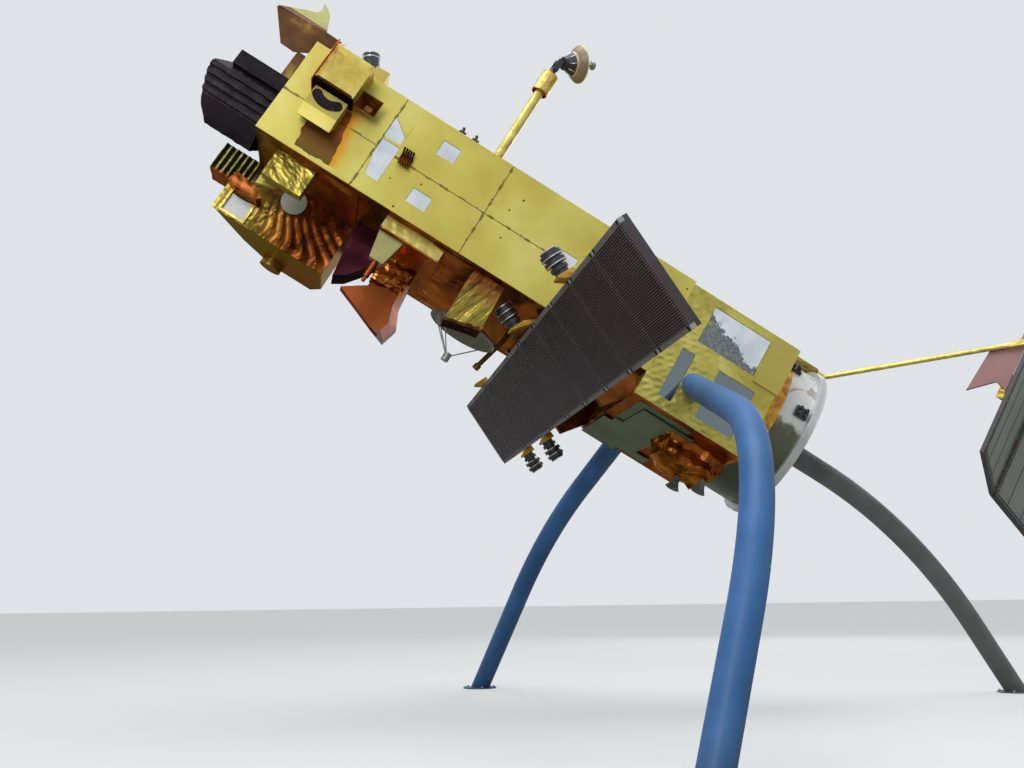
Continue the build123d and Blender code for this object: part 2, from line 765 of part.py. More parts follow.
feed_q = -460.0
feed_half = 60.0
feed_radius = 55.0
strut_radius = 9.0
strut_spread = alt_radius - 60.0
with BuildPart() as altimeter_feed:
    rod(at(alt_u, alt_y, feed_q - feed_half), at(alt_u, alt_y, feed_q + feed_half), feed_radius)
    for strut_angle in (170.0, 195.0, 220.0, 10.0):
        foot_u = alt_u + strut_spread * cos(radians(strut_angle))
        foot_y = alt_y + strut_spread * sin(radians(strut_angle))
        rod(at(foot_u, foot_y, alt_rim_q + 40), at(alt_u, alt_y, feed_q), strut_radius)
    add(altimeter_dish.part, mode=Mode.SUBTRACT)
finish(altimeter_feed.part, "altimeter_feed")

with BuildPart() as sensor_arm:
    rod(at(-760, 300, 300), at(-890, 300, -230), 36.0)
    rod(at(-890, 300, -230), at(-905, 300, -300), 52.0)
    block((-800.0, 240.0, 290.0), (-720.0, 360.0, payload_earth_q))
finish(sensor_arm.part, "sensor_arm")

# Relay dish: mast, turning collar, forked elbow and dish

spigot_radius = 45.0
spigot_top_q = 3580.0
mast_top_q = 3420.0
mast_flange = 45.0
flange_height = 30.0
mast_place = (mast_u, mast_y)
with BuildPart() as mast:
    ring_of(deck(payload_sky_q), mast_place, mast_radius + mast_flange, 0, flange_height)
    ring_of(deck(payload_sky_q), mast_place, mast_radius, 0, mast_top_q - payload_sky_q)
    ring_of(deck(mast_top_q), mast_place, spigot_radius, 0, spigot_top_q - mast_top_q)
finish(mast.part, "mast")

collar_wall = 12.0
collar_floor_q = 3425.0
aim_azimuth = radians(dish_azimuth)
aim = along(cos(aim_azimuth), sin(aim_azimuth), 0)
across = along(-sin(aim_azimuth), cos(aim_azimuth), 0)
collar_plane = Plane(origin=at(mast_u, mast_y, 0), x_dir=aim, z_dir=hull.z_dir)
fork_gap = 100.0
fork_ear = 14.0
pin_radius = 22.0
with BuildPart() as turning_collar:
    with BuildSketch(collar_plane.offset(collar_bottom_q)) as shell:
        Circle(collar_radius)
    extrude(amount=collar_top_q - collar_bottom_q)
    with BuildSketch(collar_plane.offset(collar_bottom_q)) as skirt:
        Circle(collar_radius - collar_wall)
    extrude(amount=collar_floor_q - collar_bottom_q, mode=Mode.SUBTRACT)
    with BuildSketch(collar_plane.offset(collar_floor_q)) as socket:
        Circle(spigot_radius + running_gap)
    extrude(amount=spigot_top_q + 5 - collar_floor_q, mode=Mode.SUBTRACT)
finish(turning_collar.part, "turning_collar")

neck_half = fork_gap / 2 - 5.0
with BuildPart() as elbow_fork:
    with BuildSketch(collar_plane.offset(collar_top_q)) as stem:
        Circle(42)
    extrude(amount=100)
    with BuildSketch(collar_plane.offset(collar_top_q + 90)) as bridge:
        Rectangle(80, fork_gap + 2 * fork_ear)
    extrude(amount=30)
    for ear_side in (-1, 1):
        with BuildSketch(collar_plane.offset(collar_top_q + 110)) as ear:
            with Locations((0, ear_side * (fork_gap + fork_ear) / 2)):
                Rectangle(80, fork_ear)
        extrude(ear.sketch, amount=elbow_q + 40 - collar_top_q - 110)
    pin_end = across * (fork_gap / 2 + fork_ear)
    pivot = at(mast_u, mast_y, elbow_q)
    rod(pivot - pin_end, pivot + pin_end, pin_radius)
finish(elbow_fork.part, "elbow_fork")

rise = radians(dish_elevation)
aim_axis = (aim * cos(rise) + along(0, 0, 1) * sin(rise)).normalized()
dish_plane = Plane(origin=pivot, x_dir=aim_axis, z_dir=across)
# The dish's section along its aim: place on the aim and radius
cone_start = 75.0
cone_end = 230.0
rim_place = 340.0
with BuildPart() as relay_dish:
    with BuildSketch(dish_plane) as section:
        with BuildLine() as profile:
            Polyline((cone_start, 0), (cone_start, 95), (cone_start + 40, 100), (cone_end, 172))
            Line((cone_end, 172), (cone_end + 8, 172))
            ThreePointArc((cone_end + 8, 172), (cone_end + 60, 235), (rim_place, dish_radius))
            Line((rim_place, dish_radius), (rim_place + 12, dish_radius))
            ThreePointArc((rim_place + 12, dish_radius), (cone_end + 80, 180), (cone_end + 50, 60))
            Polyline((cone_end + 50, 60), (cone_end + 210, 40), (cone_end + 210, 0), (cone_start, 0))
        make_face()
    revolve(axis=Axis(pivot, aim_axis))
    with BuildSketch(dish_plane.offset(-neck_half)) as neck:
        with BuildLine() as edge:
            Line((0, -40), (cone_start + 10, -60))
            Line((cone_start + 10, -60), (cone_start + 10, 60))
            Line((cone_start + 10, 60), (0, 40))
            ThreePointArc((0, 40), (-40, 0), (0, -40))
        make_face()
        Circle(pin_radius + running_gap, mode=Mode.SUBTRACT)
    extrude(amount=2 * neck_half)
finish(relay_dish.part, "relay_dish")

# Solar wing: drive on the barrel, boom, yoke and four folding panels

drive_radius = 80.0
drive_front_u = 3060.0
drive_back_u = 3480.0
shaft_radius = 30.0
shaft_length = 60.0
saddle_width = 110.0
saddle_length = 200.0
drive_place = (drive_y, drive_q)
with BuildPart() as wing_drive:
    ring_of(station(drive_front_u), drive_place, drive_radius, 0, drive_back_u - drive_front_u)
    with BuildSketch(station(drive_front_u + 20)) as saddle:
        with Locations((drive_y, (drive_q + ring_centre_q + barrel_radius) / 2 - 30)):
            Rectangle(saddle_width, drive_q - ring_centre_q - barrel_radius + 60)
    extrude(amount=saddle_length)
    with BuildSketch(station(service_tail_u)) as barrel_cut:
        with Locations(ring_centre):
            Circle(barrel_radius)
    extrude(amount=ring_front_u - service_tail_u, mode=Mode.SUBTRACT)
    ring_of(station(drive_back_u), drive_place, shaft_radius, 0, shaft_length)
finish(wing_drive.part, "wing_drive")

hub_radius = 60.0
hub_gap = 6.0
bore_spare = 5.0  # how much deeper than the shaft the hub is bored
boom_root = at(boom_root_u + 40, drive_y, drive_q)
boom_end = at(*boom_tip)
# The yoke lies in the boom's own plane: x back along the boom, y towards the sky side
inward = along(boom_root_u + 40 - boom_tip[0], drive_y - boom_tip[1], 0).normalized()
yoke_plane = Plane(origin=boom_end, x_dir=inward, z_dir=inward.cross(hull.z_dir))
with BuildPart() as boom:
    ring_of(station(drive_back_u + hub_gap), drive_place, hub_radius, 0, boom_root_u + 60 - drive_back_u)
    rod(boom_root, boom_end + (boom_root - boom_end).normalized() * 70, boom_radius)
    with BuildSketch(yoke_plane.offset(-boom_radius)) as end_lug:
        with BuildLine() as edge:
            Polyline((30, -68), (220, -182), (220, -82), (30, 32), close=True)
        make_face()
    extrude(amount=2 * boom_radius)
    with BuildSketch(station(drive_back_u)) as hub_bore:
        with Locations(drive_place):
            Circle(shaft_radius + running_gap)
    extrude(amount=shaft_length + bore_spare, mode=Mode.SUBTRACT)
finish(boom.part, "boom")

panel_high_q = panel_low_q + panel_long
frame_edge = 80.0
panel_joint = 24.0  # left open between two panels at their hinge line
cell_recess = 18.0
for number, (first, last) in enumerate(zip(wing_corners, wing_corners[1:]), start=1):
    run = along(last[0] - first[0], last[1] - first[1], 0)
    panel_width = run.length
    panel_plane = Plane(
        origin=at((first[0] + last[0]) / 2, (first[1] + last[1]) / 2, (panel_low_q + panel_high_q) / 2),
        x_dir=run,
        z_dir=along(last[1] - first[1], first[0] - last[0], 0),
    )
    with BuildPart() as wing_panel:
        with BuildSketch(panel_plane.offset(-panel_thickness / 2)) as outline:
            Rectangle(panel_width - panel_joint, panel_long)
        extrude(amount=panel_thickness)
        with BuildSketch(panel_plane.offset(panel_thickness / 2)) as recess:
            Rectangle(panel_width - panel_joint - 2 * frame_edge, panel_long - 2 * frame_edge)
        extrude(amount=-cell_recess, mode=Mode.SUBTRACT)
    finish(wing_panel.part, f"wing_panel_{number}")

hinge_radius = 12.0
hinge_half = 90.0
hinge_inset = 300.0
with BuildPart() as wing_hinges:
    for corner_u, corner_y in wing_corners[1:-1]:
        for hinge_q in (panel_low_q + hinge_inset, panel_high_q - hinge_inset):
            low_end = at(corner_u, corner_y, hinge_q - hinge_half)
            rod(low_end, at(corner_u, corner_y, hinge_q + hinge_half), hinge_radius)
finish(wing_hinges.part, "wing_hinges")

yoke_thickness = 30.0
with BuildPart() as wing_yoke:
    with BuildSketch(yoke_plane.offset(boom_radius)) as yoke:
        with BuildLine() as edge:
            Polyline(
                (512, -979), (440, -280), (165, -85), (60, 225), (32, 420), (32, -820), (130, -760),
                (190, -725), close=True,
            )
        make_face()
    extrude(amount=yoke_thickness)
finish(wing_yoke.part, "wing_yoke")

# Brackets from the back of the yoke to the first panel's face, low and high on the panel's edge
edge_start = at(*wing_corners[0], 0)
edge_run = (at(*wing_corners[1], 0) - edge_start).normalized()
panel_face = edge_start + edge_run.cross(hull.z_dir) * (-panel_thickness / 2)
yoke_back = at(boom_tip[0], boom_tip[1], 0) + yoke_plane.z_dir * (boom_radius + yoke_thickness)
with BuildPart() as yoke_brackets:
    for low_q, high_q in ((2880.0, 3280.0), (3900.0, 4200.0)):
        corners = (
            yoke_back + inward * 34,
            panel_face + edge_run * 40,
            panel_face + edge_run * 120,
            yoke_back + inward * 125,
        )
        with BuildSketch(deck(low_q)) as foot:
            with BuildLine() as edge:
                Polyline(*[tuple(hull.to_local_coords(corner))[:2] for corner in corners], close=True)
            make_face()
        extrude(foot.sketch, amount=high_q - low_q)
finish(yoke_brackets.part, "yoke_brackets")
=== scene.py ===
# %% [markdown]
# # A large satellite on curved pipe legs
# The satellite is shown nose-up on three bent pipes. Most of it is a box wrapped in metallised foil, with
# instruments on its earth side, a long radar antenna across its belly and a folding solar wing on a boom.
# The rigid forms come from the packed CAD model. This lesson gives them their finishes, and lays foil,
# ribs, seams and small fittings over them as surfaces worked out with numpy.

# %% Load the rigid frame
import math

import bmesh
import bpy
import numpy as np
from mathutils import Matrix


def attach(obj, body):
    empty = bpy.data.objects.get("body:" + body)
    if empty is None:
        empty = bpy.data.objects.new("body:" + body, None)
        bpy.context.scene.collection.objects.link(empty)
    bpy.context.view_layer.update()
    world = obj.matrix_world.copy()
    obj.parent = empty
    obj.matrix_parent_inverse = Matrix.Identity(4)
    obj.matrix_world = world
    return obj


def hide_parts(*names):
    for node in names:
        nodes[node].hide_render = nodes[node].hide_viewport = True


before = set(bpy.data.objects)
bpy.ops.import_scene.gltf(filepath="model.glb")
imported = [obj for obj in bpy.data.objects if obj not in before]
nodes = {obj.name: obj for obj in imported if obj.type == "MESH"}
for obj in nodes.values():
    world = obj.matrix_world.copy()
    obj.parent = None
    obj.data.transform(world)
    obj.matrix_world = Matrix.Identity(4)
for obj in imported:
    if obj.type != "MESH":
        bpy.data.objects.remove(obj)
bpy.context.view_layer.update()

# %% [markdown]
# ## The hull's own frame
# The hull is pitched nose-up, so it is easier to think along it than in world axes. A point is given as
# u, the distance aft, y across, and q towards the sky side, from the middle of the radar antenna's face.
# The same idea serves the antenna, which leans further. Both frames are plain matrix products, so whole
# arrays of points can be placed at once.

# %% Frames of the hull and of the radar antenna
DATUM = np.array((-3.272, 0.005, 4.660))
HULL_PITCH = math.radians(31.0)
RADAR_PITCH = math.radians(31.0 + 25.6)


def leaning(pitch):
    """Rows are the aft, across and sky directions of a frame pitched nose-up by an angle."""
    return np.array((
        (math.cos(pitch), 0.0, -math.sin(pitch)),
        (0.0, 1.0, 0.0),
        (math.sin(pitch), 0.0, math.cos(pitch)),
    ))


HULL = leaning(HULL_PITCH)
RADAR = leaning(RADAR_PITCH)


def placed(axes, u, y, q):
    """World points = datum + u·aft + y·across + q·sky."""
    return DATUM + np.stack(np.broadcast_arrays(u, y, q), -1) @ axes


def hull_point(u, y, q):
    return placed(HULL, u, y, q)


def on_side(y):
    """A drawing plane on the hull's near side: a runs aft, b to the sky, c out to the near side."""
    return lambda a, b, c: hull_point(a, y - np.asarray(c), b)


def on_far_side(y):
    return lambda a, b, c: hull_point(a, y + np.asarray(c), b)


def on_deck(q):
    return lambda a, b, c: hull_point(a, b, q + np.asarray(c))


def on_station(u):
    return lambda a, b, c: hull_point(u + np.asarray(c), a, b)


print("nose end", hull_point(-4.96, 0.0, 1.0).round(3))

# %% [markdown]
# ## Turning arrays of points into pieces
# Every new piece is one or more grids of points, each a function of two parameters. Neighbouring points
# become faces, shared edges are merged, and bmesh turns the faces outwards. One small function does this
# for all pieces and puts them on their body.

# %% From grids to a piece
def grid_faces(rows, columns, start):
    """Quads of a grid: corner (i, j) with its neighbours one row and one column on."""
    index = np.arange(rows * columns).reshape(rows, columns) + start
    return np.stack((index[:-1, :-1], index[1:, :-1], index[1:, 1:], index[:-1, 1:]), -1).reshape(-1, 4)


def piece(name, grids, material, slot, body="spacecraft", replaces=None, smooth=False, keep=None):
    """A mesh from grids of points. keep tells which faces of a lone grid stay."""
    points, faces, start = [], [], 0
    for grid in grids:
        quads = grid_faces(grid.shape[0], grid.shape[1], start)
        faces.append(quads if keep is None else quads[keep.reshape(-1)])
        points.append(grid.reshape(-1, 3))
        start += grid.shape[0] * grid.shape[1]
    mesh = bpy.data.meshes.new(name)
    mesh.from_pydata(np.concatenate(points), [], np.concatenate(faces).tolist())
    work = bmesh.new()
    work.from_mesh(mesh)
    bmesh.ops.remove_doubles(work, verts=work.verts, dist=0.0002)
    loose = [vert for vert in work.verts if not vert.link_faces]
    bmesh.ops.delete(work, geom=loose, context="VERTS")
    bmesh.ops.dissolve_degenerate(work, edges=work.edges, dist=0.0001)
    bmesh.ops.recalc_face_normals(work, faces=work.faces)
    work.to_mesh(mesh)
    work.free()
    mesh.polygons.foreach_set("use_smooth", np.full(len(mesh.polygons), smooth))
    mesh.materials.append(material)
    made = bpy.data.objects.new(name, mesh)
    bpy.context.scene.collection.objects.link(made)
    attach(made, body)
    if replaces:
        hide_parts(replaces)
    print(name, len(mesh.polygons), "faces")
    return made


def second_finish(made, material, chosen):
    """Faces where chosen is true take another finish."""
    made.data.materials.append(material)
    index = np.empty(len(made.data.polygons), dtype=np.int32)
    made.data.polygons.foreach_get("material_index", index)
    index[chosen] = len(made.data.materials) - 1
    made.data.polygons.foreach_set("material_index", index)
    made.data.update()


def face_centres(made):
    """Places of a piece's faces on the hull: all their u, all their y and all their q."""
    centre = np.empty(len(made.data.polygons) * 3)
    made.data.polygons.foreach_get("center", centre)
    return ((centre.reshape(-1, 3) - DATUM) @ HULL.T).T


print("a grid of 3 by 4 points has", len(grid_faces(3, 4, 0)), "faces")

# %% [markdown]
# ## Creased foil as a function of place
# Foil that is taped over a frame creases in straight folds that cross each other. A sum of triangle waves
# along random directions gives just that: flat facets meeting in sharp lines. The height depends only on
# where a point is, so two faces that share an edge move together and the skin stays closed.

# %% The crease field
def creases(points, fold, seed, waves=4):
    """Height from -1 to 1: the mean of triangle waves in random directions, one fold long or so."""
    draw = np.random.default_rng(seed)
    total = np.zeros(points.shape[:-1])
    for _ in range(waves):
        direction = draw.normal(size=3)
        direction /= np.linalg.norm(direction)
        bend = draw.normal(size=3)
        bend /= np.linalg.norm(bend) * fold * 2.5
        travel = points @ direction * draw.uniform(0.5, 1.6) / fold
        travel = travel + 0.3 * np.sin(points @ bend) + draw.uniform()
        total += np.abs(2.0 * (travel % 1.0) - 1.0)
    return total / waves * 2.0 - 1.0


def creased(points, fold, height, seed):
    """Each point moved by three crease fields of its own place."""
    return points + height * np.stack([creases(points, fold, seed + part) for part in range(3)], -1)


def flat(a, b):
    """Points of a flat sheet, where its creases are read."""
    return np.stack((a, b, np.zeros_like(a)), -1)


print("crease heights at three places", creases(np.eye(3), 0.5, 1).round(2))

# %% [markdown]
# Most of the instruments are boxes or wedges, so one function wraps them all. It carries an outline through
# the depth of the box for the wall, and draws the outline in to its middle for the two ends.

# %% Wrapped boxes
def divide(outline, step):
    """A closed outline with points added along each straight, no further apart than a step."""
    corners = np.asarray(outline, float)
    runs = []
    for start, end in zip(corners, np.roll(corners, -1, 0)):
        count = max(1, int(np.ceil(np.linalg.norm(end - start) / step)))
        share = np.linspace(0.0, 1.0, count, endpoint=False)[:, None]
        runs.append(start + (end - start) * share)
    ring = np.concatenate(runs)
    return np.vstack((ring, ring[:1]))


def drawn_in(ring, count):
    """A disc: the outline scaled about its middle by r from 1 to 0."""
    middle = ring[:-1].mean(0)
    r = np.linspace(1.0, 0.0, count)[None, :, None]
    return middle + (ring[:, None, :] - middle) * r


def wrapped_prism(outline, plane, depth, fold, height, seed, step):
    """Wall: outline(s) carried to depth·t. Ends: the outline drawn in to its middle."""
    ring = divide(outline, step)
    t = np.linspace(0.0, depth, max(2, int(abs(depth) / step)) + 1)
    wall = plane(ring[:, None, 0], ring[:, None, 1], t[None, :])
    reach = np.abs(ring - ring[:-1].mean(0)).max()
    disc = drawn_in(ring, max(3, int(reach / step)) + 1)
    ends = [plane(disc[..., 0], disc[..., 1], level) for level in (0.0, depth)]
    return [creased(grid, fold, height, seed) for grid in (wall, *ends)]


def box_outline(low, high):
    return ((low[0], low[1]), (high[0], low[1]), (high[0], high[1]), (low[0], high[1]))


print("a box outline has", len(divide(box_outline((0.0, 0.0), (1.0, 1.0)), 0.1)) - 1, "points")

# %% [markdown]
# ## Finishes made of nodes
# Each finish starts from the Principled shader. Colour comes from a ramp driven by noise on Object
# coordinates, so it stays on the piece from any side, and a bump built from the same pattern makes light
# catch where the colour changes. Numbers that are the same everywhere are set on the shader itself.
# Written out, a sum of patterns is a long chain of Math nodes. A small class lets it be written as
# arithmetic: each sign between two values adds one Math node to the tree.

# %% Values that flow through a finish
RIDGED = "RIDGED_MULTIFRACTAL"


def feed(tree, value, socket):
    """Set a socket to a number or a colour, or link another node's output to it."""
    if isinstance(value, (int, float)):
        socket.default_value = value
    elif isinstance(value, tuple):
        socket.default_value = (*value, 1.0)
    else:
        tree.links.new(value.socket if isinstance(value, Value) else value, socket)


class Value:
    """A number in a node tree, which changes from place to place."""

    def __init__(self, tree, socket):
        self.tree, self.socket = tree, socket

    def math(self, kind, first, second=0.0, clamp=False):
        node = self.tree.nodes.new("ShaderNodeMath")
        node.operation = kind
        node.use_clamp = clamp
        feed(self.tree, first, node.inputs[0])
        feed(self.tree, second, node.inputs[1])
        return Value(self.tree, node.outputs["Value"])

    def __add__(self, other):
        return self.math("ADD", self, other)

    def __sub__(self, other):
        return self.math("SUBTRACT", self, other)

    def __mul__(self, other):
        return self.math("MULTIPLY", self, other)

    def __mod__(self, other):
        return self.math("MODULO", self, other)

    def apply(self, kind):
        return self.math(kind, self)

    def either(self, other):
        """The larger of two values, which joins two masks."""
        return self.math("MAXIMUM", self, other)

    def above(self, level):
        """1 where the value is above a level, 0 elsewhere."""
        return self.math("GREATER_THAN", self, level)

    def below(self, level):
        return self.math("LESS_THAN", self, level)

    def near(self, place, half):
        """1 within half of a place, 0 elsewhere."""
        return (self - place).apply("ABSOLUTE").below(half)

    def share(self, low, high):
        """0 at low and 1 at high, straight between them and level outside."""
        return self.math("DIVIDE", self - low, high - low, clamp=True)


print("a value can be", [name for name in vars(Value) if not name.startswith("__")])

# %% [markdown]
# Every finish goes through the same steps: a new material, its coordinates, patterns, colours, and last the
# links to the shader. A second class keeps the material and its tree together, so that each recipe reads as
# the steps that make the finish. The coordinates can be turned with the hull, because real blankets are cut
# and taped along it.

# %% A finish in the making
class Finish:
    """A new material with its shader, its Object coordinates and the nodes it may need."""

    def __init__(self, name, rough, metal=0.0, coat=0.0, specular=0.5):
        self.material = bpy.data.materials.new(name)
        self.material.use_nodes = True
        self.tree = self.material.node_tree
        self.shader = self.tree.nodes["Principled BSDF"]
        for socket, value in (("Roughness", rough), ("Metallic", metal), ("Coat Weight", coat),
                              ("Coat Roughness", 0.15), ("Specular IOR Level", specular)):
            self.shader.inputs[socket].default_value = value
        self.coords = self.node("TexCoord").outputs["Object"]

    def node(self, kind, vector=None, **inputs):
        """A node with its inputs set by name and a vector linked to it."""
        made = self.tree.nodes.new("ShaderNode" + kind)
        for name, value in inputs.items():
            made.inputs[name].default_value = value
        if vector is not None:
            self.tree.links.new(vector, made.inputs["Vector"])
        return made

    def turned(self, pitch=HULL_PITCH, stretch=(1.0, 1.0, 1.0)):
        """Object coordinates measured along the hull: x runs aft, y across and z to the sky side."""
        mapping = self.node("Mapping", self.coords, Location=DATUM, Rotation=(0.0, pitch, 0.0), Scale=stretch)
        mapping.vector_type = "TEXTURE"
        return mapping.outputs["Vector"]

    def split(self, vector):
        return [Value(self.tree, part) for part in self.node("SeparateXYZ", vector).outputs]

    def noise(self, vector, scale, detail=4.0, kind="FBM", rough=0.55, warp=0.0):
        made = self.node("TexNoise", vector, Scale=scale, Detail=detail, Roughness=rough, Distortion=warp)
        made.noise_type = kind
        return Value(self.tree, made.outputs["Fac"])

    def cells(self, vector, scale):
        """Distance to the nearest of many scattered points."""
        return Value(self.tree, self.node("TexVoronoi", vector, Scale=scale).outputs["Distance"])

    def ramp(self, factor, *stops):
        """Colours along a ramp, each stop (place, colour)."""
        made = self.node("ValToRGB")
        band = made.color_ramp
        while len(band.elements) < len(stops):
            band.elements.new(0.5)
        for element, (place, colour) in zip(band.elements, stops):
            element.position = place
            element.color = (*colour, 1.0)
        feed(self.tree, factor, made.inputs["Fac"])
        return made.outputs["Color"]

    def mix(self, factor, first, second):
        """Two colours mixed by a factor."""
        made = self.node("Mix")
        made.data_type = "RGBA"
        for number, value in ((0, factor), (6, first), (7, second)):
            feed(self.tree, value, made.inputs[number])
        return made.outputs[2]

    def done(self, colour, height=None, strength=0.0, depth=0.01):
        """The material, once its colour and its bump are linked to the shader."""
        feed(self.tree, colour, self.shader.inputs["Base Color"])
        if height is not None:
            bump = self.node("Bump", Strength=strength, Distance=depth)
            feed(self.tree, height, bump.inputs["Height"])
            self.tree.links.new(bump.outputs["Normal"], self.shader.inputs["Normal"])
        return self.material


print("finish helpers ready")

# %% [markdown]
# ## Foil
# The foil is a thin metallised film, gold where it faces the sky and copper-brown where it faces the
# ground. Soft noise gives its broad facets and a ridged noise, stretched one way, its straight creases.
# Both drive the bump and the colour: the dark tone is painted shade in the folds and the bright tone a
# painted highlight on their edges. A foil may also change along the hull from one set of tones to
# another, as the imager's blanket does from gold to copper.

# %% Foil recipe
TONE_PLACES = (0.34, 0.56, 0.84)


def foil(name, tones, fold=3.0, strength=0.6, rough=0.30, metal=0.9, stretch=(1.0, 1.0, 1.0), lean=0.0,
         second=None, axis=0, span=(0.0, 1.0)):
    """tones: painted shade of the folds, the foil's own colour and painted highlight of the edges; second:
    the tones reached at the far end of a span.
    """
    made = Finish(name, rough, metal, specular=0.25)
    made.shader.inputs["Specular Tint"].default_value = (*tones[2], 1.0)
    hull = made.turned()
    drawn = made.turned(HULL_PITCH + lean, stretch)
    facets = made.noise(drawn, fold, 2.0, warp=0.5)
    lines = made.noise(drawn, fold * 1.6, 3.0, RIDGED, 0.5, 0.4)
    height = facets * 0.9 + lines * 0.22
    # painted light: the colour follows the crease height, dark as painted shade in the folds and bright as a
    # painted highlight on their edges
    shade = height * 0.62 + made.noise(hull, 0.9, 2.0) * 0.38
    colour = made.ramp(shade, *zip(TONE_PLACES, tones))
    if second:
        place = made.split(hull)[axis] + facets * 0.25
        other = made.ramp(shade, *zip(TONE_PLACES, second))
        colour = made.mix(place.share(*span), colour, other)
    return made.done(colour, height, strength, 0.05)


print("foil tones sit on the ramp at", TONE_PLACES)

# %% [markdown]
# Each foil has three tones: painted shade for its folds, its own colour for its broad faces and a painted
# highlight for its edges. The tones are named first, so that several blankets can share them. The foils then
# differ in the size of their folds, in how deep the folds look and in the way they run.

# %% Foil tones
GOLD = ((0.34, 0.25, 0.045), (0.62, 0.51, 0.12), (0.88, 0.80, 0.38))
PALE_GOLD = ((0.50, 0.38, 0.08), (0.70, 0.59, 0.18), (0.90, 0.84, 0.48))
CALM_GOLD = ((0.42, 0.34, 0.07), (0.52, 0.44, 0.12), (0.66, 0.60, 0.24))
LOOSE_GOLD = ((0.40, 0.34, 0.07), (0.58, 0.51, 0.125), (0.80, 0.74, 0.30))
TIGHT_GOLD = ((0.10, 0.07, 0.012), (0.40, 0.32, 0.06), (0.90, 0.80, 0.36))
CRINKLED = ((0.07, 0.05, 0.010), (0.40, 0.31, 0.06), (0.92, 0.80, 0.33))
BRACKET_GOLD = ((0.24, 0.070, 0.012), (0.66, 0.42, 0.07), (0.92, 0.80, 0.34))
HORN_GOLD = ((0.08, 0.03, 0.008), (0.34, 0.17, 0.035), (0.80, 0.62, 0.22))
COPPER = ((0.10, 0.030, 0.008), (0.42, 0.145, 0.035), (0.88, 0.42, 0.10))
FAN_COPPER = ((0.05, 0.010, 0.003), (0.30, 0.080, 0.014), (0.92, 0.40, 0.06))
WEDGE_COPPER = ((0.05, 0.012, 0.004), (0.27, 0.085, 0.020), (0.88, 0.52, 0.13))
CLUSTER_COPPER = ((0.07, 0.016, 0.004), (0.42, 0.125, 0.022), (0.98, 0.66, 0.18))
PLATE_COPPER = ((0.16, 0.040, 0.012), (0.30, 0.078, 0.020), (0.50, 0.17, 0.05))
BRONZE = ((0.09, 0.050, 0.012), (0.32, 0.19, 0.045), (0.62, 0.44, 0.13))
ORANGE = ((0.16, 0.030, 0.006), (0.68, 0.24, 0.022), (0.95, 0.62, 0.14))
UNDERSIDE_SHADE = ((0.028, 0.010, 0.005), (0.095, 0.036, 0.014), (0.26, 0.12, 0.04))
BURNT = ((0.02, 0.006, 0.002), (0.08, 0.025, 0.006), (0.40, 0.14, 0.02))
BURGUNDY = ((0.020, 0.004, 0.008), (0.065, 0.014, 0.022), (0.16, 0.045, 0.05))
print("darkest foil tone", min(BURNT[0]))

# %% Foil finishes
gold_foil = foil("gold_foil", GOLD, metal=0.5)
pale_foil = foil("pale_gold_foil", PALE_GOLD, 3.5, 0.5, metal=0.45)
calm_foil = foil("calm_gold_foil", CALM_GOLD, 1.0, 0.12, metal=0.4)
loose_foil = foil("service_side_foil", LOOSE_GOLD, 4.0, 0.8, metal=0.4, stretch=(1.6, 1.0, 1.0), lean=0.6)
tight_foil = foil("tight_crinkled_foil", TIGHT_GOLD, 6.0, 1.0, metal=0.6, stretch=(1.5, 1.0, 1.0), lean=0.5)
crinkled_gold = foil("crinkled_gold_foil", CRINKLED, 4.5, 1.0, metal=0.6, stretch=(3.0, 1.2, 0.8), lean=-0.5)
pleated_gold = foil("pleated_gold_foil", CRINKLED, 6.0, 1.0, metal=0.6, stretch=(7.0, 1.0, 0.8), lean=-1.24,
                    second=COPPER, axis=2, span=(0.20, 0.50))
box_foil = foil("instrument_box_foil", ORANGE, 3.0, 0.5, metal=0.5, second=PALE_GOLD, span=(-4.55, -4.42))
bracket_foil = foil("bracket_foil", BRACKET_GOLD, 3.5, 0.8, metal=0.7)
horn_foil = foil("square_horn_foil", HORN_GOLD, 3.0, 0.5)
copper_foil = foil("copper_foil", COPPER, 2.4, 0.8, metal=0.85, stretch=(1.0, 2.2, 1.0))
earth_foil = foil("earth_face_foil", BRONZE, 2.4, 0.8, metal=0.85, stretch=(1.0, 2.2, 1.0), second=COPPER,
                  span=(-4.75, -4.10))
fan_foil = foil("imager_fan_foil", CRINKLED, 5.0, 0.9, metal=0.7, stretch=(1.0, 1.0, 2.5), lean=0.3,
                second=FAN_COPPER, span=(-4.75, -3.95))
wedge_foil = foil("wedge_foil", WEDGE_COPPER, 2.6, 1.0)
cluster_foil = foil("cluster_foil", CLUSTER_COPPER, 3.2, 0.8, 0.24)
copper_metal = foil("copper_metal", PLATE_COPPER, 1.2, 0.25, 0.36)
bronze_foil = foil("bronze_foil", BRONZE, 2.5, 0.5)
orange_foil = foil("orange_foil", ORANGE, 5.0, 0.9, stretch=(1.0, 1.0, 2.5))
# painted shade: dark brown foil laid on the undersides of the instrument box and the foil flap
underside_shade_foil = foil("painted_underside_shade", UNDERSIDE_SHADE, 2.5, 0.5)
burnt_foil = foil("burnt_fixture_foil", BURNT, 6.0)
burgundy = foil("burgundy_hood_film", BURGUNDY, 1.2, 0.3)
print("foils ready")

# %% [markdown]
# ## Smooth side panels
# The payload's sides are foil drawn tight over flat panels: even and slightly clouded, with thin dark
# seams, torn tape along them, fine scratches and a scatter of dark specks. Below the fittings near the
# nose a painted shadow and reflection of the instrument box and its baffle darkens the foil to browns,
# with a painted orange glow along its aft edge. Each mark is a mask made from the distance to a line, an
# edge or a cell centre in hull coordinates.

# %% Side panel foil
SEAMS_U, SEAM_Q = (-3.55, -1.90, -0.25), 1.10
SEAM_HALF, TAPE_HALF = 0.006, 0.020


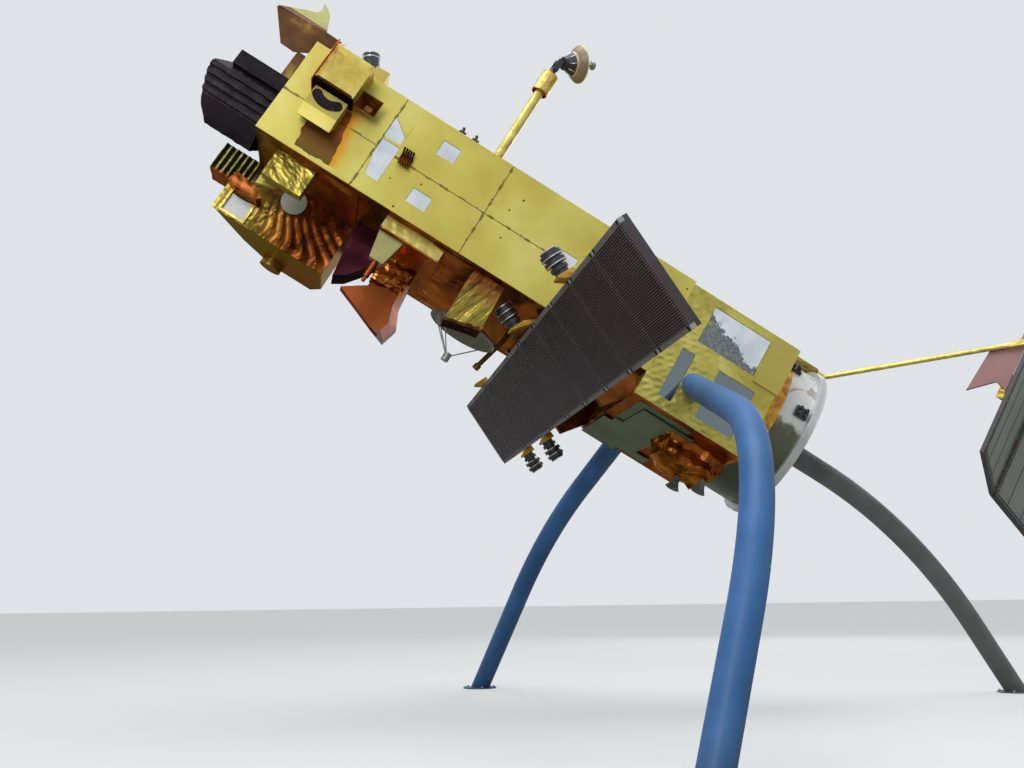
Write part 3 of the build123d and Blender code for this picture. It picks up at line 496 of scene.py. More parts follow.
def side_foil():
    made = Finish("side_panel_foil", 0.36, 0.30, specular=0.15)
    hull = made.turned()
    u, y, q = made.split(hull)
    clouds = made.noise(hull, 1.3)
    base = made.ramp(clouds, (0.30, (0.52, 0.43, 0.085)), (0.55, (0.60, 0.52, 0.115)),
                     (0.78, (0.69, 0.62, 0.20)))
    seams, tape = q.near(SEAM_Q, SEAM_HALF), q.near(SEAM_Q, TAPE_HALF)
    for seam in SEAMS_U:
        seams = seams.either(u.near(seam, SEAM_HALF))
        tape = tape.either(u.near(seam, TAPE_HALF))
    torn = made.noise(hull, 11.0, 3.0).above(0.56)
    along_scratch = made.turned(HULL_PITCH - 0.6, (6.0, 1.0, 0.7))
    scratched = made.noise(hull, 1.1, 2.0).above(0.55)
    scratches = made.noise(along_scratch, 5.0, 2.0, RIDGED).above(0.93) * scratched
    specks = made.cells(hull, 4.2).below(0.075) * made.noise(hull, 2.2, 2.0).above(0.48)
    marks = (seams.either(tape * torn) * 0.72).either(scratches * 0.35).either(specks)
    colour = made.mix(marks, base, (0.11, 0.075, 0.02))
    wobble = (made.noise(hull, 7.0, 3.0) - 0.5) * 0.10
    aft, height, near_side = u + q * 0.16 + wobble, q + wobble, y.below(0.0)
    # painted glow: an orange band aft of the instrument box, not a mark on the foil
    painted_glow = (aft + 3.80).apply("ABSOLUTE").share(0.14, 0.0) * height.near(0.98, 0.46)
    colour = made.mix(painted_glow * near_side, colour, (0.72, 0.29, 0.015))
    # painted shadow and reflection: a brown patch below the instrument box and behind its baffle, with its
    # own tones below
    painted_shadow = aft.near(-4.08, 0.26) * height.near(0.90, 0.40) * near_side
    tone = made.ramp(height, (0.45, (0.10, 0.070, 0.012)), (0.62, (0.17, 0.085, 0.012)),
                     (0.80, (0.10, 0.032, 0.006)), (1.0, (0.26, 0.080, 0.010)))
    wrinkles = made.noise(along_scratch, 3.0, 4.0, RIDGED, 0.5, 0.3)
    return made.done(made.mix(painted_shadow, colour, tone), wrinkles * 0.25 + clouds, 0.22, 0.02)


panel_foil = side_foil()
print("seams at", SEAMS_U, "and", SEAM_Q)

# %% [markdown]
# ## Paint, plastic and bare metal
# Outdoor paint is never even. The pipes have slow clouds of tone, a speckle of chips that show primer, and
# grime towards the ground. The other paints and plastics share the recipe with less wear.

# %% Painted finishes
def paint(name, colour, rough=0.45, vary=0.12, grain=30.0, chips=0.0, chip_colour=(0.0, 0.0, 0.0), metal=0.0,
          grime=0.0, bump=0.08, specular=0.5):
    """vary: how far the tone drifts; chips: size of chips; grime: height that the dirt reaches."""
    made = Finish(name, rough, metal, coat=0.05, specular=specular)
    low = tuple(value * (1.0 - vary) for value in colour)
    high = tuple(min(1.0, value * (1.0 + vary) + 0.01) for value in colour)
    base = made.ramp(made.noise(made.coords, 1.7, 5.0), (0.32, low), (0.68, high))
    if chips:
        spots = made.cells(made.coords, 4.5).below(chips) * made.noise(made.coords, 0.9, 2.0).above(0.52)
        base = made.mix(spots, base, chip_colour)
    if grime:
        streaks = made.split(made.coords)[2].share(grime, 0.0) * made.noise(made.coords, 6.0, 6.0)
        base = made.mix(streaks, base, tuple(value * 0.35 + 0.02 for value in colour))
    return made.done(base, made.noise(made.coords, grain), bump)


blue_pipe = paint("blue_pipe_paint", (0.019, 0.108, 0.30), 0.60, 0.16, 40.0, 0.07, (0.30, 0.46, 0.60),
                  grime=1.0)
grey_pipe = paint("grey_pipe_paint", (0.135, 0.15, 0.145), 0.50, 0.15, 40.0, 0.05, (0.32, 0.33, 0.32),
                  grime=0.8)
block_black = paint("ribbed_block_plastic", (0.011, 0.005, 0.011), 0.62, 0.7, 16.0, 0.16,
                    (0.040, 0.024, 0.038), bump=1.0, specular=0.15)
radar_back = paint("radar_back_paint", (0.028, 0.024, 0.030), 0.45, 0.25, 50.0)
black_metal = paint("black_fitting_paint", (0.020, 0.018, 0.022), 0.35, 0.3, 50.0)
silver = paint("silver_band_metal", (0.62, 0.63, 0.64), 0.28, 0.1, 60.0, metal=0.9)
ring_metal = paint("launch_ring_metal", (0.50, 0.52, 0.53), 0.36, 0.1, 60.0, metal=0.55)
grey_metal = paint("grey_fitting_metal", (0.32, 0.33, 0.32), 0.40, 0.15, 60.0, metal=0.4)
olive_metal = paint("olive_bracket_metal", (0.30, 0.28, 0.10), 0.34, 0.25, 12.0, metal=0.6)
pale_disc = paint("pale_disc_paint", (0.44, 0.44, 0.40), 0.5, 0.08, 40.0)
white_pane = paint("white_pane_plastic", (0.80, 0.83, 0.86), 0.12, 0.04, 4.0, bump=0.02)
dish_olive = paint("altimeter_dish_paint", (0.15, 0.14, 0.10), 0.40, 0.3, 30.0, metal=0.3)
mauve_plate = paint("mauve_yoke_paint", (0.23, 0.105, 0.10), 0.45, 0.12, 30.0)
pink_film = paint("pinkish_film", (0.27, 0.115, 0.085), 0.34, 0.35, 9.0, metal=0.5)
array_edge = paint("array_edge_strip", (0.030, 0.013, 0.018), 0.45, 0.3, 40.0)
array_back = paint("array_back_paint", (0.26, 0.29, 0.27), 0.5, 0.10, 20.0)
cell_gap = paint("cell_gap_paint", (0.20, 0.20, 0.19), 0.5, 0.1, 30.0)
green_primer = paint("green_primer_paint", (0.10, 0.145, 0.065), 0.55, 0.25, 30.0)
bell_paint = paint("thruster_bell_paint", (0.13, 0.155, 0.125), 0.5, 0.3, 30.0, metal=0.3)
print("paints ready")

# %% [markdown]
# ## Camera, light and floor
# The camera stands at eye height on the ground and looks up along the satellite, with the photograph's own
# lens and lean. The light is that of an overcast day brought indoors: a large soft lamp overhead, a
# weaker one behind the camera, and an even pale surrounding.

# %% Camera
EYE = np.array((-3.272 - 3.214, 0.005 - 14.272, 1.57))
LOOK_YAW, LOOK_PITCH, LOOK_ROLL = 0.1914, 0.205, -0.013
FOCAL_PIXELS, FRAME_WIDTH, SENSOR_WIDTH = 1050.0, 1024.0, 36.0


def camera_axes(yaw, pitch, roll):
    """Columns are the camera's right, up and backward directions in the world."""
    forward = np.array((math.sin(yaw) * math.cos(pitch), math.cos(yaw) * math.cos(pitch), math.sin(pitch)))
    right = np.array((math.cos(yaw), -math.sin(yaw), 0.0))
    up = np.cross(right, forward)
    leaned_right = math.cos(roll) * right + math.sin(roll) * up
    leaned_up = -math.sin(roll) * right + math.cos(roll) * up
    return np.column_stack((leaned_right, leaned_up, -forward))


def stood(name, data, axes, place):
    """An object in the scene whose own axes are the columns of a matrix."""
    made = bpy.data.objects.new(name, data)
    bpy.context.scene.collection.objects.link(made)
    stance = np.eye(4)
    stance[:3, :3] = axes
    stance[:3, 3] = place
    made.matrix_world = Matrix(stance)
    return made


camera_data = bpy.data.cameras.new("view")
camera_data.sensor_width = SENSOR_WIDTH
camera_data.lens = FOCAL_PIXELS / FRAME_WIDTH * SENSOR_WIDTH
camera_data.clip_end = 900.0
bpy.context.scene.camera = stood("view", camera_data, camera_axes(LOOK_YAW, LOOK_PITCH, LOOK_ROLL), EYE)
print("lens", round(camera_data.lens, 2), "mm")

# %% [markdown]
# Three round area lamps stand for a cloudy sky: a large one overhead, one behind the camera that opens the
# shadows of the near side, and one for the far side. A sun lamp would throw hard shadows, which an overcast
# day doesn't have.


# %% Lamps
def soft_lamp(name, place, size, power, target=(0.0, 0.0, 5.0)):
    data = bpy.data.lights.new(name, "AREA")
    data.shape = "DISK"
    data.size = size
    data.energy = power
    back = np.subtract(place, target)
    back /= np.linalg.norm(back)
    side = np.cross((0.0, 1.0, 0.01), back)
    side /= np.linalg.norm(side)
    stood(name, data, np.column_stack((side, np.cross(back, side), back)), place)


soft_lamp("overhead", (-4.0, -4.0, 26.0), 20.0, 4200.0)
soft_lamp("behind_view", (-16.0, -24.0, 14.0), 14.0, 3000.0)
soft_lamp("far_side", (14.0, 26.0, 14.0), 14.0, 1500.0)
print("lamps", len(bpy.data.lights))

# %% [markdown]
# The surroundings do two jobs. They light the satellite evenly, and they are the pale backdrop that the
# camera and shiny foil see. The Light Path node tells the two apart, so the backdrop can be bright while
# the light stays soft. The floor uses the same node: only the camera sees its slight glow.

# %% Surroundings
world = bpy.data.worlds.new("surroundings")
bpy.context.scene.world = world
world.use_nodes = True
sky_tree = world.node_tree
sky_light = sky_tree.nodes["Background"]
sky_light.inputs["Color"].default_value = (0.86, 0.89, 0.93, 1.0)
sky_light.inputs["Strength"].default_value = 0.42
sky_seen = sky_tree.nodes.new("ShaderNodeBackground")
sky_seen.inputs["Color"].default_value = (0.74, 0.77, 0.80, 1.0)
rays = sky_tree.nodes.new("ShaderNodeLightPath").outputs
seen = Value(sky_tree, rays["Is Camera Ray"])
for kind in ("Is Glossy Ray", "Is Transmission Ray"):
    seen = seen.either(Value(sky_tree, rays[kind]))
choose = sky_tree.nodes.new("ShaderNodeMixShader")
for number, value in enumerate((seen, sky_light.outputs["Background"], sky_seen.outputs["Background"])):
    feed(sky_tree, value, choose.inputs[number])
sky_tree.links.new(choose.outputs["Shader"], sky_tree.nodes["World Output"].inputs["Surface"])
print("surroundings", len(sky_tree.nodes), "nodes")

# %% Floor
FLOOR_REACH, FLOOR_GLOW = 380.0, 0.42
floor_mesh = bpy.data.meshes.new("floor")
floor_corners = [(x * FLOOR_REACH, y * FLOOR_REACH, 0.0) for x, y in ((-1, -1), (1, -1), (1, 1), (-1, 1))]
floor_mesh.from_pydata(floor_corners, [], [(0, 1, 2, 3)])
floor = bpy.data.objects.new("floor", floor_mesh)
bpy.context.scene.collection.objects.link(floor)
floor_finish = Finish("floor_paint", 0.9, specular=0.1)
in_view = Value(floor_finish.tree, floor_finish.node("LightPath").outputs["Is Camera Ray"])
floor_finish.shader.inputs["Emission Color"].default_value = (0.97, 1.0, 1.0, 1.0)
feed(floor_finish.tree, in_view * FLOOR_GLOW, floor_finish.shader.inputs["Emission Strength"])
floor_colour = floor_finish.mix(in_view, (0.38, 0.38, 0.34), (0.36, 0.37, 0.37))
floor_mesh.materials.append(floor_finish.done(floor_colour))
bpy.context.scene.view_settings.view_transform = "Standard"
print("floor ready")

# %% [markdown]
# ## The payload module's skin
# The box itself is a foil blanket laced over a frame. It is built as a wall carried round the outline of
# the side view plus two end faces, each moved by the crease field. The sky and nose faces are gold. The
# earth face is bare copper-brown film, so those faces take a second finish.

# %% Payload and service module blankets
PAYLOAD_NOSE, PAYLOAD_TAIL, PAYLOAD_EARTH, PAYLOAD_SKY = -4.96, 1.00, 0.44, 1.90
SERVICE_TAIL, SERVICE_EARTH, SERVICE_SKY = 2.68, 0.10, 1.86
CORE_HALF, HULL_HALF = 1.378, 1.400
AT_FACE = 0.03  # faces this close to a side of the box belong to it

payload_outline = box_outline((PAYLOAD_NOSE, PAYLOAD_EARTH), (PAYLOAD_TAIL, PAYLOAD_SKY))
payload_wrap = wrapped_prism(payload_outline, on_side(-CORE_HALF), -2 * CORE_HALF, 0.55, 0.012, 11, 0.075)
payload_skin = piece("payload_blanket", payload_wrap, gold_foil, "sky_foil", replaces="payload_box")
u, y, q = face_centres(payload_skin)
second_finish(payload_skin, earth_foil, q < PAYLOAD_EARTH + AT_FACE)

service_outline = box_outline((PAYLOAD_TAIL, SERVICE_EARTH), (SERVICE_TAIL, SERVICE_SKY))
service_wrap = wrapped_prism(service_outline, on_side(-CORE_HALF), -2 * CORE_HALF, 0.40, 0.016, 12, 0.06)
service_skin = piece("service_blanket", service_wrap, copper_foil, "copper_foil", replaces="service_box")
u, y, q = face_centres(service_skin)
second_finish(service_skin, gold_foil, q > SERVICE_EARTH + AT_FACE)
second_finish(service_skin, orange_foil, u > SERVICE_TAIL - AT_FACE)

# %% [markdown]
# ## The service module's sides
# Here the foil is looser. It is a sheet over a grid of u and q with holes where the mirrors sit. Its
# crumple is deep at the lower front corner and dies away to a smooth panel near the tail's sky edge.

# %% Sheets with openings
def steps_between(low, high, step, edges):
    """Evenly spaced values between two ends, with the openings' edges among them."""
    even = np.linspace(low, high, int(round((high - low) / step)) + 1)
    edges = np.array(sorted(set(edges)))
    if len(edges):
        even = even[np.abs(even[:, None] - edges[None, :]).min(1) > step * 0.45]
    return np.unique(np.concatenate((even, edges, (low, high))))


def pierced_sheet(name, plane, span, openings, lift, material, slot, step=0.03, replaces=None):
    """Surface c = lift(a, b) over a rectangle, without the faces whose middle lies in an opening."""
    a_low, a_high, b_low, b_high = span
    a = steps_between(a_low, a_high, step, [edge for opening in openings for edge in opening[:2]])
    b = steps_between(b_low, b_high, step, [edge for opening in openings for edge in opening[2:]])
    a_grid, b_grid = np.meshgrid(a, b, indexing="ij")
    a_mid, b_mid = np.meshgrid((a[1:] + a[:-1]) / 2, (b[1:] + b[:-1]) / 2, indexing="ij")
    stays = np.ones(a_mid.shape, bool)
    for a0, a1, b0, b1 in openings:
        stays &= ~((a_mid > a0) & (a_mid < a1) & (b_mid > b0) & (b_mid < b1))
    sheet = plane(a_grid, b_grid, lift(a_grid, b_grid))
    made = piece(name, [sheet], material, slot, replaces=replaces, keep=stays)
    solid = made.modifiers.new("thickness", "SOLIDIFY")
    solid.thickness = 0.004
    solid.offset = -1.0


print("steps that keep an edge at 0.4", steps_between(0.0, 1.0, 0.25, [0.4]))


# %% Loose side foil round the mirrors
SERVICE_MIRRORS = ((1.400, 2.290, 1.180, 1.740), (1.275, 1.470, 0.250, 0.990), (1.850, 2.410, 0.250, 0.990))
SIDE_SPAN = (PAYLOAD_TAIL, SERVICE_TAIL, SERVICE_EARTH, SERVICE_SKY)


def loose_lift(seed):
    """Height of the loose foil: creases scaled by how far a point is from the smooth corner."""
    def lift(a, b):
        loose = np.clip(1.25 - 0.55 * (a - 1.0) - 0.42 * (b - 0.1), 0.12, 1.0)
        crumple = 0.012 * creases(flat(a, b), 0.11, seed, 5) + 0.010 * creases(flat(a, b), 0.45, seed + 1)
        return 0.022 + loose * crumple
    return lift


pierced_sheet("service_foil_near", on_side(-CORE_HALF), SIDE_SPAN, SERVICE_MIRRORS, loose_lift(21),
              loose_foil, "crinkled_foil", replaces="service_side_near")
pierced_sheet("service_foil_far", on_far_side(CORE_HALF), SIDE_SPAN, (), loose_lift(25), loose_foil,
              "crinkled_foil", replaces="service_side_far")

# %% [markdown]
# ## Small boxes wrapped in foil
# The instruments are boxes and wedges in their own blankets, with a small wedge beside the sensor box and
# a guard in front of the imager's window. A table holds the outline, the depth and how the foil creases on
# each. Soft folds are long and shallow, crumpled foil has short deep ones. Where a blanket's lower part is
# darker, the table gives a line q = level + slope·u, and the faces below it take a second finish. Under the
# instrument box and the foil flap that finish is painted shade.

# %% Wrapped instruments
# name, node it replaces, plane, outline, depth, fold length, fold height, step, finish, slot, lower part
instrument_table = (
    ("cluster_wrap", "thruster_cluster", on_side(-0.050),
     ((1.75, 0.10), (1.85, -0.15), (2.05, -0.23), (2.60, -0.23), (2.66, -0.08), (2.66, 0.10)),
     0.850, 0.34, 0.050, 0.030, cluster_foil, "copper_foil", None),
    ("instrument_wrap", "instrument_box", on_side(-1.400), box_outline((-4.63, 1.31), (-4.07, 1.86)),
     0.350, 0.50, 0.004, 0.035, box_foil, "crinkled_foil", (underside_shade_foil, 1.335, 0.0)),
    ("sensor_wrap", "sensor_box", on_side(-0.930), box_outline((-4.625, 0.04), (-4.05, 0.44)),
     0.180, 0.50, 0.002, 0.020, tight_foil, "crinkled_foil", None),
    ("wedge_wrap", None, on_side(-0.800),
     ((-4.677, -0.035), (-4.685, 0.095), (-4.431, 0.102), (-4.414, 0.053)),
     0.060, 0.20, 0.003, 0.020, calm_foil, "crinkled_foil", None),
    ("window_guard", None, on_side(-0.300),
     ((-5.157, -0.014), (-5.124, 0.150), (-4.765, 0.083), (-4.643, -0.007), (-4.682, -0.069),
      (-5.037, -0.053)),
     -0.290, 0.20, 0.004, 0.020, wedge_foil, "hood_foil", None),
    ("long_box_wrap", "long_box", on_side(-0.400), box_outline((-2.955, 0.24), (-2.08, 0.44)),
     0.800, 0.30, 0.006, 0.030, pale_foil, "crinkled_foil", (copper_foil, 0.262, 0.0)),
    ("flap_wrap", "foil_flap", on_side(-0.850),
     ((-1.62, 0.44), (-1.62, -0.37), (-1.13, -0.25), (-1.15, 0.44)),
     0.350, 0.22, 0.009, 0.022, pleated_gold, "crinkled_foil", (underside_shade_foil, 0.0825, 0.25)),
    ("hood_wrap", "dark_hood", on_side(-0.400),
     ((-3.35, 0.44), (-3.24, -0.435), (-3.09, -0.34), (-2.815, 0.06), (-2.815, 0.44)),
     -0.420, 0.55, 0.012, 0.040, burgundy, "burgundy", None),
)
for name, node, plane, outline, depth, fold, height, step, material, slot, lower in instrument_table:
    blanket = wrapped_prism(outline, plane, depth, fold, height, len(name) * 7, step)
    made = piece(name, blanket, material, slot, replaces=node)
    # the lower part's second finish is painted shade under the instrument box and the flap
    if lower:
        darker, level, slope = lower
        u, y, q = face_centres(made)
        second_finish(made, darker, q < level + slope * u)

# %% [markdown]
# ## The fishtail horn and its neck
# The horn is a flat flared plate of copper-brown metal below a crumpled foil neck that boxes in its
# waveguide. Both are wrapped outlines of one piece, the plate with long flat facets, the neck with short
# deep folds. A pinkish flange is bent up along the plate's aft edge, a strip between two outlines.

# %% Fishtail horn
HORN_MIDDLE, BROAD_SIDE, RIM = -0.22, 0.099, 0.098  # how far out in y the sides start and the rim ends
HORN_OUTLINE = ((-3.07, -0.48), (-2.74, -0.25), (-2.33, -0.06), (-2.27, 0.04), (-2.23, -0.34),
                (-2.115, -0.585), (-2.175, -0.83), (-2.422, -0.75))
NECK_OUTLINE = box_outline((-2.80, -0.15), (-2.32, 0.44))
neck = wrapped_prism(NECK_OUTLINE, on_side(0.060), 0.400, 0.16, 0.022, 41, 0.025)
plate = wrapped_prism(HORN_OUTLINE, on_side(-0.120), 0.200, 0.60, 0.006, 42, 0.05)
horn = piece("fishtail_skin", neck + plate, copper_metal, "copper_metal", replaces="fishtail_horn")
u, y, q = face_centres(horn)
from_middle = np.abs(y - HORN_MIDDLE)
second_finish(horn, cluster_foil, (q > -0.16) & (y > -0.35) & (from_middle > BROAD_SIDE))
second_finish(horn, pink_film, (u > -2.30) & (q < -0.1) & (from_middle < RIM))

flange_out = np.array(HORN_OUTLINE[3:])
flange_in = np.array(((-2.36, 0.00), (-2.33, -0.34), (-2.25, -0.56), (-2.29, -0.72), (-2.415, -0.75)))
flange = np.stack((flange_in, flange_out), 1)
flange_rise = np.array([[0.004, 0.016]])
flange_sheet = on_side(-0.326)(flange[..., 0], flange[..., 1], flange_rise)
piece("fishtail_flange", [flange_sheet], pink_film, "copper_metal")

# %% [markdown]
# ## Pleats
# Two blankets are sewn in pleats: the striped box beside the nose and the earth imager's near side, where
# the pleats fan out below the window. A pleat is a triangle wave across the stripes. On the imager the
# wave's phase is the angle about a point above the sheet, so its stripes spread as they go down.

# %% Striped box
STRIPES = 11.0  # pleats to a metre
PLEAT_DEPTH = 0.022


def zigzag(phase):
    """Triangle wave from 0 to 1, one rise and fall for each whole step of phase."""
    return np.abs(2.0 * (phase % 1.0) - 1.0)


def striped_finish():
    """Foil whose colour follows the pleats: painted shade on one slope and a painted highlight on the other.
    """
    made = Finish("striped_foil", 0.30, 0.6, specular=0.3)
    hull = made.turned()
    # painted light: the pleat wave darkens one slope and brightens the other
    wave = (made.split(hull)[0] * (STRIPES * 2.0 * math.pi)).apply("SINE")
    share = wave * 0.42 + made.noise(hull, 9.0)
    colour = made.ramp(share, (0.62, (0.018, 0.028, 0.006)), (1.0, (0.62, 0.47, 0.10)))
    return made.done(colour, made.noise(hull, 20.0, 5.0, RIDGED), 0.35, 0.02)


pleats = []
striped_outline = box_outline((0.20, 0.15), (0.70, 0.59))
for part in wrapped_prism(striped_outline, on_station(PAYLOAD_NOSE), -0.650, 0.3, 0.006, 51, 0.015):
    local = (part - DATUM) @ HULL.T
    inwards = np.sign(0.45 - local[..., 1]) * PLEAT_DEPTH * zigzag(local[..., 0] * STRIPES)
    pleats.append(part + inwards[..., None] * HULL[1])
striped = piece("striped_blanket", pleats, striped_finish(), "striped_foil", replaces="striped_box")
u, y, q = face_centres(striped)
second_finish(striped, copper_foil, q < 0.175)

# %% Fanned pleats of the imager
WINDOW = (-5.075, -4.735, -0.345, -0.005)
IMAGER_SPAN, IMAGER_CORNER = (-5.125, -3.425, -0.400, 0.436), (-5.2, -4.96, 0.06, 0.5)


def fan_lift(a, b):
    """Pleats fanning out from a point above the imager's window, over soft creases."""
    angle = np.arctan2(a + 4.55, 0.95 - b)
    deep = np.clip((a + 4.75) / 0.5, 0.15, 1.0) * np.clip((0.30 - b) / 0.3, 0.15, 1.0)
    pleat = 0.030 * deep * zigzag(angle * 8.0 + 0.35 * np.sin(7.0 * b)) ** 1.6
    return 0.008 + pleat + 0.010 * creases(flat(a, b), 0.25, 61)


pierced_sheet("imager_pleats", on_side(-0.002), IMAGER_SPAN, (WINDOW, IMAGER_CORNER), fan_lift, fan_foil,
              "hood_foil", 0.022)

# %% [markdown]
# ## The ribbed radar antenna
# The radar's face is the satellite's most demanding surface: some forty-five fine waveguide sticks run its
# ten metres, each a row of short slots, with a pair of dotted cross lines at every bay and two paler edge
# strips cut by pairs of notches. It is a height field over across and along. Across, a rounded comb makes
# the sticks. Along, dips mark the bays and the notches.

# %% Radar face
RADAR_HALF_WIDTH, RADAR_HALF_LENGTH, PLANK, BAY = 0.650, 5.000, 0.060, 1.000
RIB_COUNT, RIB_RISE, NOTCH_DEPTH = 45, 0.016, 0.010
FIELD = RADAR_HALF_WIDTH - 0.052  # half the width that the sticks fill
NOTCH_PLACE, NOTCH_HALF = 0.434, 0.032  # from the middle of each bay


def radar_height(across, along):
    """Height above the plank: sticks, cut through at the bay joints, on a flat notched edge strip."""
    phase = (across + FIELD) / (2 * FIELD) * RIB_COUNT
    stick = np.clip(2.2 - 3.2 * zigzag(phase), 0.0, 1.0)
    bay_place = np.abs((along / BAY) % 1.0 - 0.5)
    joint = bay_place > 0.4925
    notch = (np.abs(bay_place - NOTCH_PLACE) < NOTCH_HALF) & (np.abs(across) > FIELD + 0.010)
    return np.where(np.abs(across) < FIELD, RIB_RISE * stick * ~joint, 0.0) - NOTCH_DEPTH * notch


edge_steps = np.array((0.605, 0.611, 0.639, 0.645, RADAR_HALF_WIDTH))
half_bay = np.array((0.25, 0.401, 0.403, 0.465, 0.467, 0.4915, 0.493, 0.499))
across = np.concatenate((-edge_steps[::-1], np.linspace(-FIELD, FIELD, RIB_COUNT * 4 + 1), edge_steps))
bay_steps = np.concatenate((-half_bay[::-1], [0.0], half_bay))
bay_middles = (np.arange(10) - 4.5) * BAY
along = np.concatenate(([-RADAR_HALF_LENGTH], (bay_middles[:, None] + bay_steps[None, :]).reshape(-1),
                        [RADAR_HALF_LENGTH]))
across_grid, along_grid = np.meshgrid(across, along, indexing="ij")
front = placed(RADAR, across_grid, along_grid, -radar_height(across_grid, along_grid))
both_edges = np.array([[-RADAR_HALF_WIDTH], [RADAR_HALF_WIDTH]])
both_ends = np.array([[-RADAR_HALF_LENGTH, RADAR_HALF_LENGTH]])
back = placed(RADAR, both_edges, both_ends, PLANK)
through = np.array([[0.0, PLANK]])
rims = [placed(RADAR, across[:, None], end, through) for end in both_ends[0]]
rims += [placed(RADAR, edge, along[:, None], through) for edge in both_edges[:, 0]]
print("radar grid", front.shape)

# %% [markdown]
# The antenna's finish is drawn in its own leaning frame: the sticks are dark brown-purple with rows of
# lighter slot dashes, and pale dotted lines cross them at the bay joints. The edge strips are grey, with
# black notches and a brighter clamp at each joint.

# %% Radar finish
DASHES = 9.0  # slot dashes to a metre of stick


def radar_finish():
    made = Finish("radar_slot_paint", 0.45, 0.15, specular=0.3)
    local = made.turned(RADAR_PITCH)
    x, y, _ = made.split(local)
    ribs = RIB_COUNT / (2 * FIELD)
    odd_row = ((x + FIELD) * ribs).apply("FLOOR") % 2.0
    dash = ((y * (2 * math.pi * DASHES)).apply("SINE") * (odd_row * 2.0 - 1.0)).above(0.1)
    crest = ((x + FIELD) * (2 * math.pi * ribs)).apply("COSINE").below(-0.15)
    base = made.ramp(made.noise(local, 1.2, 5.0), (0.3, (0.034, 0.019, 0.025)), (0.7, (0.066, 0.043, 0.052)))
    base = made.mix(crest * 0.60, base, (0.115, 0.085, 0.094))
    base = made.mix(dash * crest * 0.15, base, (0.15, 0.12, 0.13))
    bay_place = (y.apply("FRACT") - 0.5).apply("ABSOLUTE")
    dotted = bay_place.near(0.470, 0.006) * crest
    base = made.mix(dotted * 0.85, base, (0.42, 0.40, 0.36))
    edge = made.ramp(made.noise(local, 5.0), (0.3, (0.13, 0.13, 0.125)), (0.7, (0.20, 0.20, 0.19)))
    edge = made.mix(bay_place.above(0.466) * 0.6, edge, (0.42, 0.42, 0.40))
    edge = made.mix(bay_place.near(NOTCH_PLACE, NOTCH_HALF), edge, (0.008, 0.008, 0.008))
    return made.done(made.mix(x.apply("ABSOLUTE").above(FIELD), base, edge))


piece("radar_sticks", [front, back, *rims], radar_finish(), "radar_grey", replaces="radar_face")

# %% [markdown]
# ## The black ribbed block at the nose
# The block is a moulded black housing with ribs along its near side and a front that slopes back below.
# Its wall is the section carried from the hull to a front line u(q), so the slope comes from the formula
# and not from a cut. A slab with finer ribs lies along its upper edge.

# %% Ribbed block
FRONT_Q = (0.26, 0.42, 0.87, 1.01, 1.18)
FRONT_U = (-5.64, -5.79, -5.96, -5.95, -5.73)


def toothed(start, end, count, depth):
    """Points between two corners, with square teeth standing out to the left of the way."""
    start, end = np.asarray(start, float), np.asarray(end, float)
    way = end - start
    out = np.array((-way[1], way[0])) / np.linalg.norm(way) * depth
    share = (np.arange(count)[:, None] + np.array((0.25, 0.25, 0.75, 0.75))[None, :]) / count
    lift = np.array((0.0, 1.0, 1.0, 0.0))[None, :, None] * out
    teeth = start + way * share[..., None] + lift
    return [tuple(start), *map(tuple, teeth.reshape(-1, 2))]


def block_plane(a, b, c):
    """Station plane whose depth c, from 0 to 1, reaches the sloping front line at its height b."""
    front_u = np.interp(b, FRONT_Q, FRONT_U)
    return hull_point(PAYLOAD_NOSE + np.asarray(c) * (front_u - PAYLOAD_NOSE), a, b)


block_section = toothed((-1.20, 0.52), (-1.20, 1.00), 4, 0.040) + [
    (-1.20, 1.00), (-1.08, 1.16), (-0.30, 1.16), (-0.30, 0.70), (-0.50, 0.50), (-0.94, 0.26)]
block_ring = divide(block_section, 0.03)
wall = block_plane(block_ring[:, None, 0], block_ring[:, None, 1], np.linspace(0.0, 1.0, 36)[None, :])
disc = drawn_in(block_ring, 20)
front_cap = block_plane(disc[..., 0], disc[..., 1], 1.0)
slab_section = toothed((-1.20, 1.095), (-1.20, 1.32), 9, 0.010) + [
    (-1.20, 1.32), (-0.56, 1.32), (-0.56, 1.095)]
slab = wrapped_prism(slab_section, on_station(PAYLOAD_NOSE), -0.780, 0.20, 0.003, 71, 0.03)
block = [creased(grid, 0.13, 0.009, 72) for grid in (wall, front_cap)]
piece("ribbed_housing", block + slab, block_black, "ribbed_black", replaces="ribbed_block")

# %% [markdown]
# ## Crumpled film on the earth face
# Between the horn and the dish the copper film has pulled loose and hangs in folds. A patch of it is a
# sheet whose crumple fades to nothing at its edges, so it lies down flush on the blanket.

# %% Loose patches on the earth face
def fading(a, b, span, rim):
    """1 inside a rectangle, falling to 0 at its edges over the width of a rim."""
    a_low, a_high, b_low, b_high = span
    return (np.clip((a - a_low) / rim, 0, 1) * np.clip((a_high - a) / rim, 0, 1)
            * np.clip((b - b_low) / rim, 0, 1) * np.clip((b_high - b) / rim, 0, 1))


def patch_lift(span, fold, height, seed):
    def lift(a, b):
        points = flat(a, b)
        ripple = creases(points, fold, seed, 3) * 0.8 + creases(points, fold * 0.5, seed + 3, 3) * 0.2
        return -0.012 - height * fading(a, b, span, 0.15) * (0.6 + ripple)
    return lift


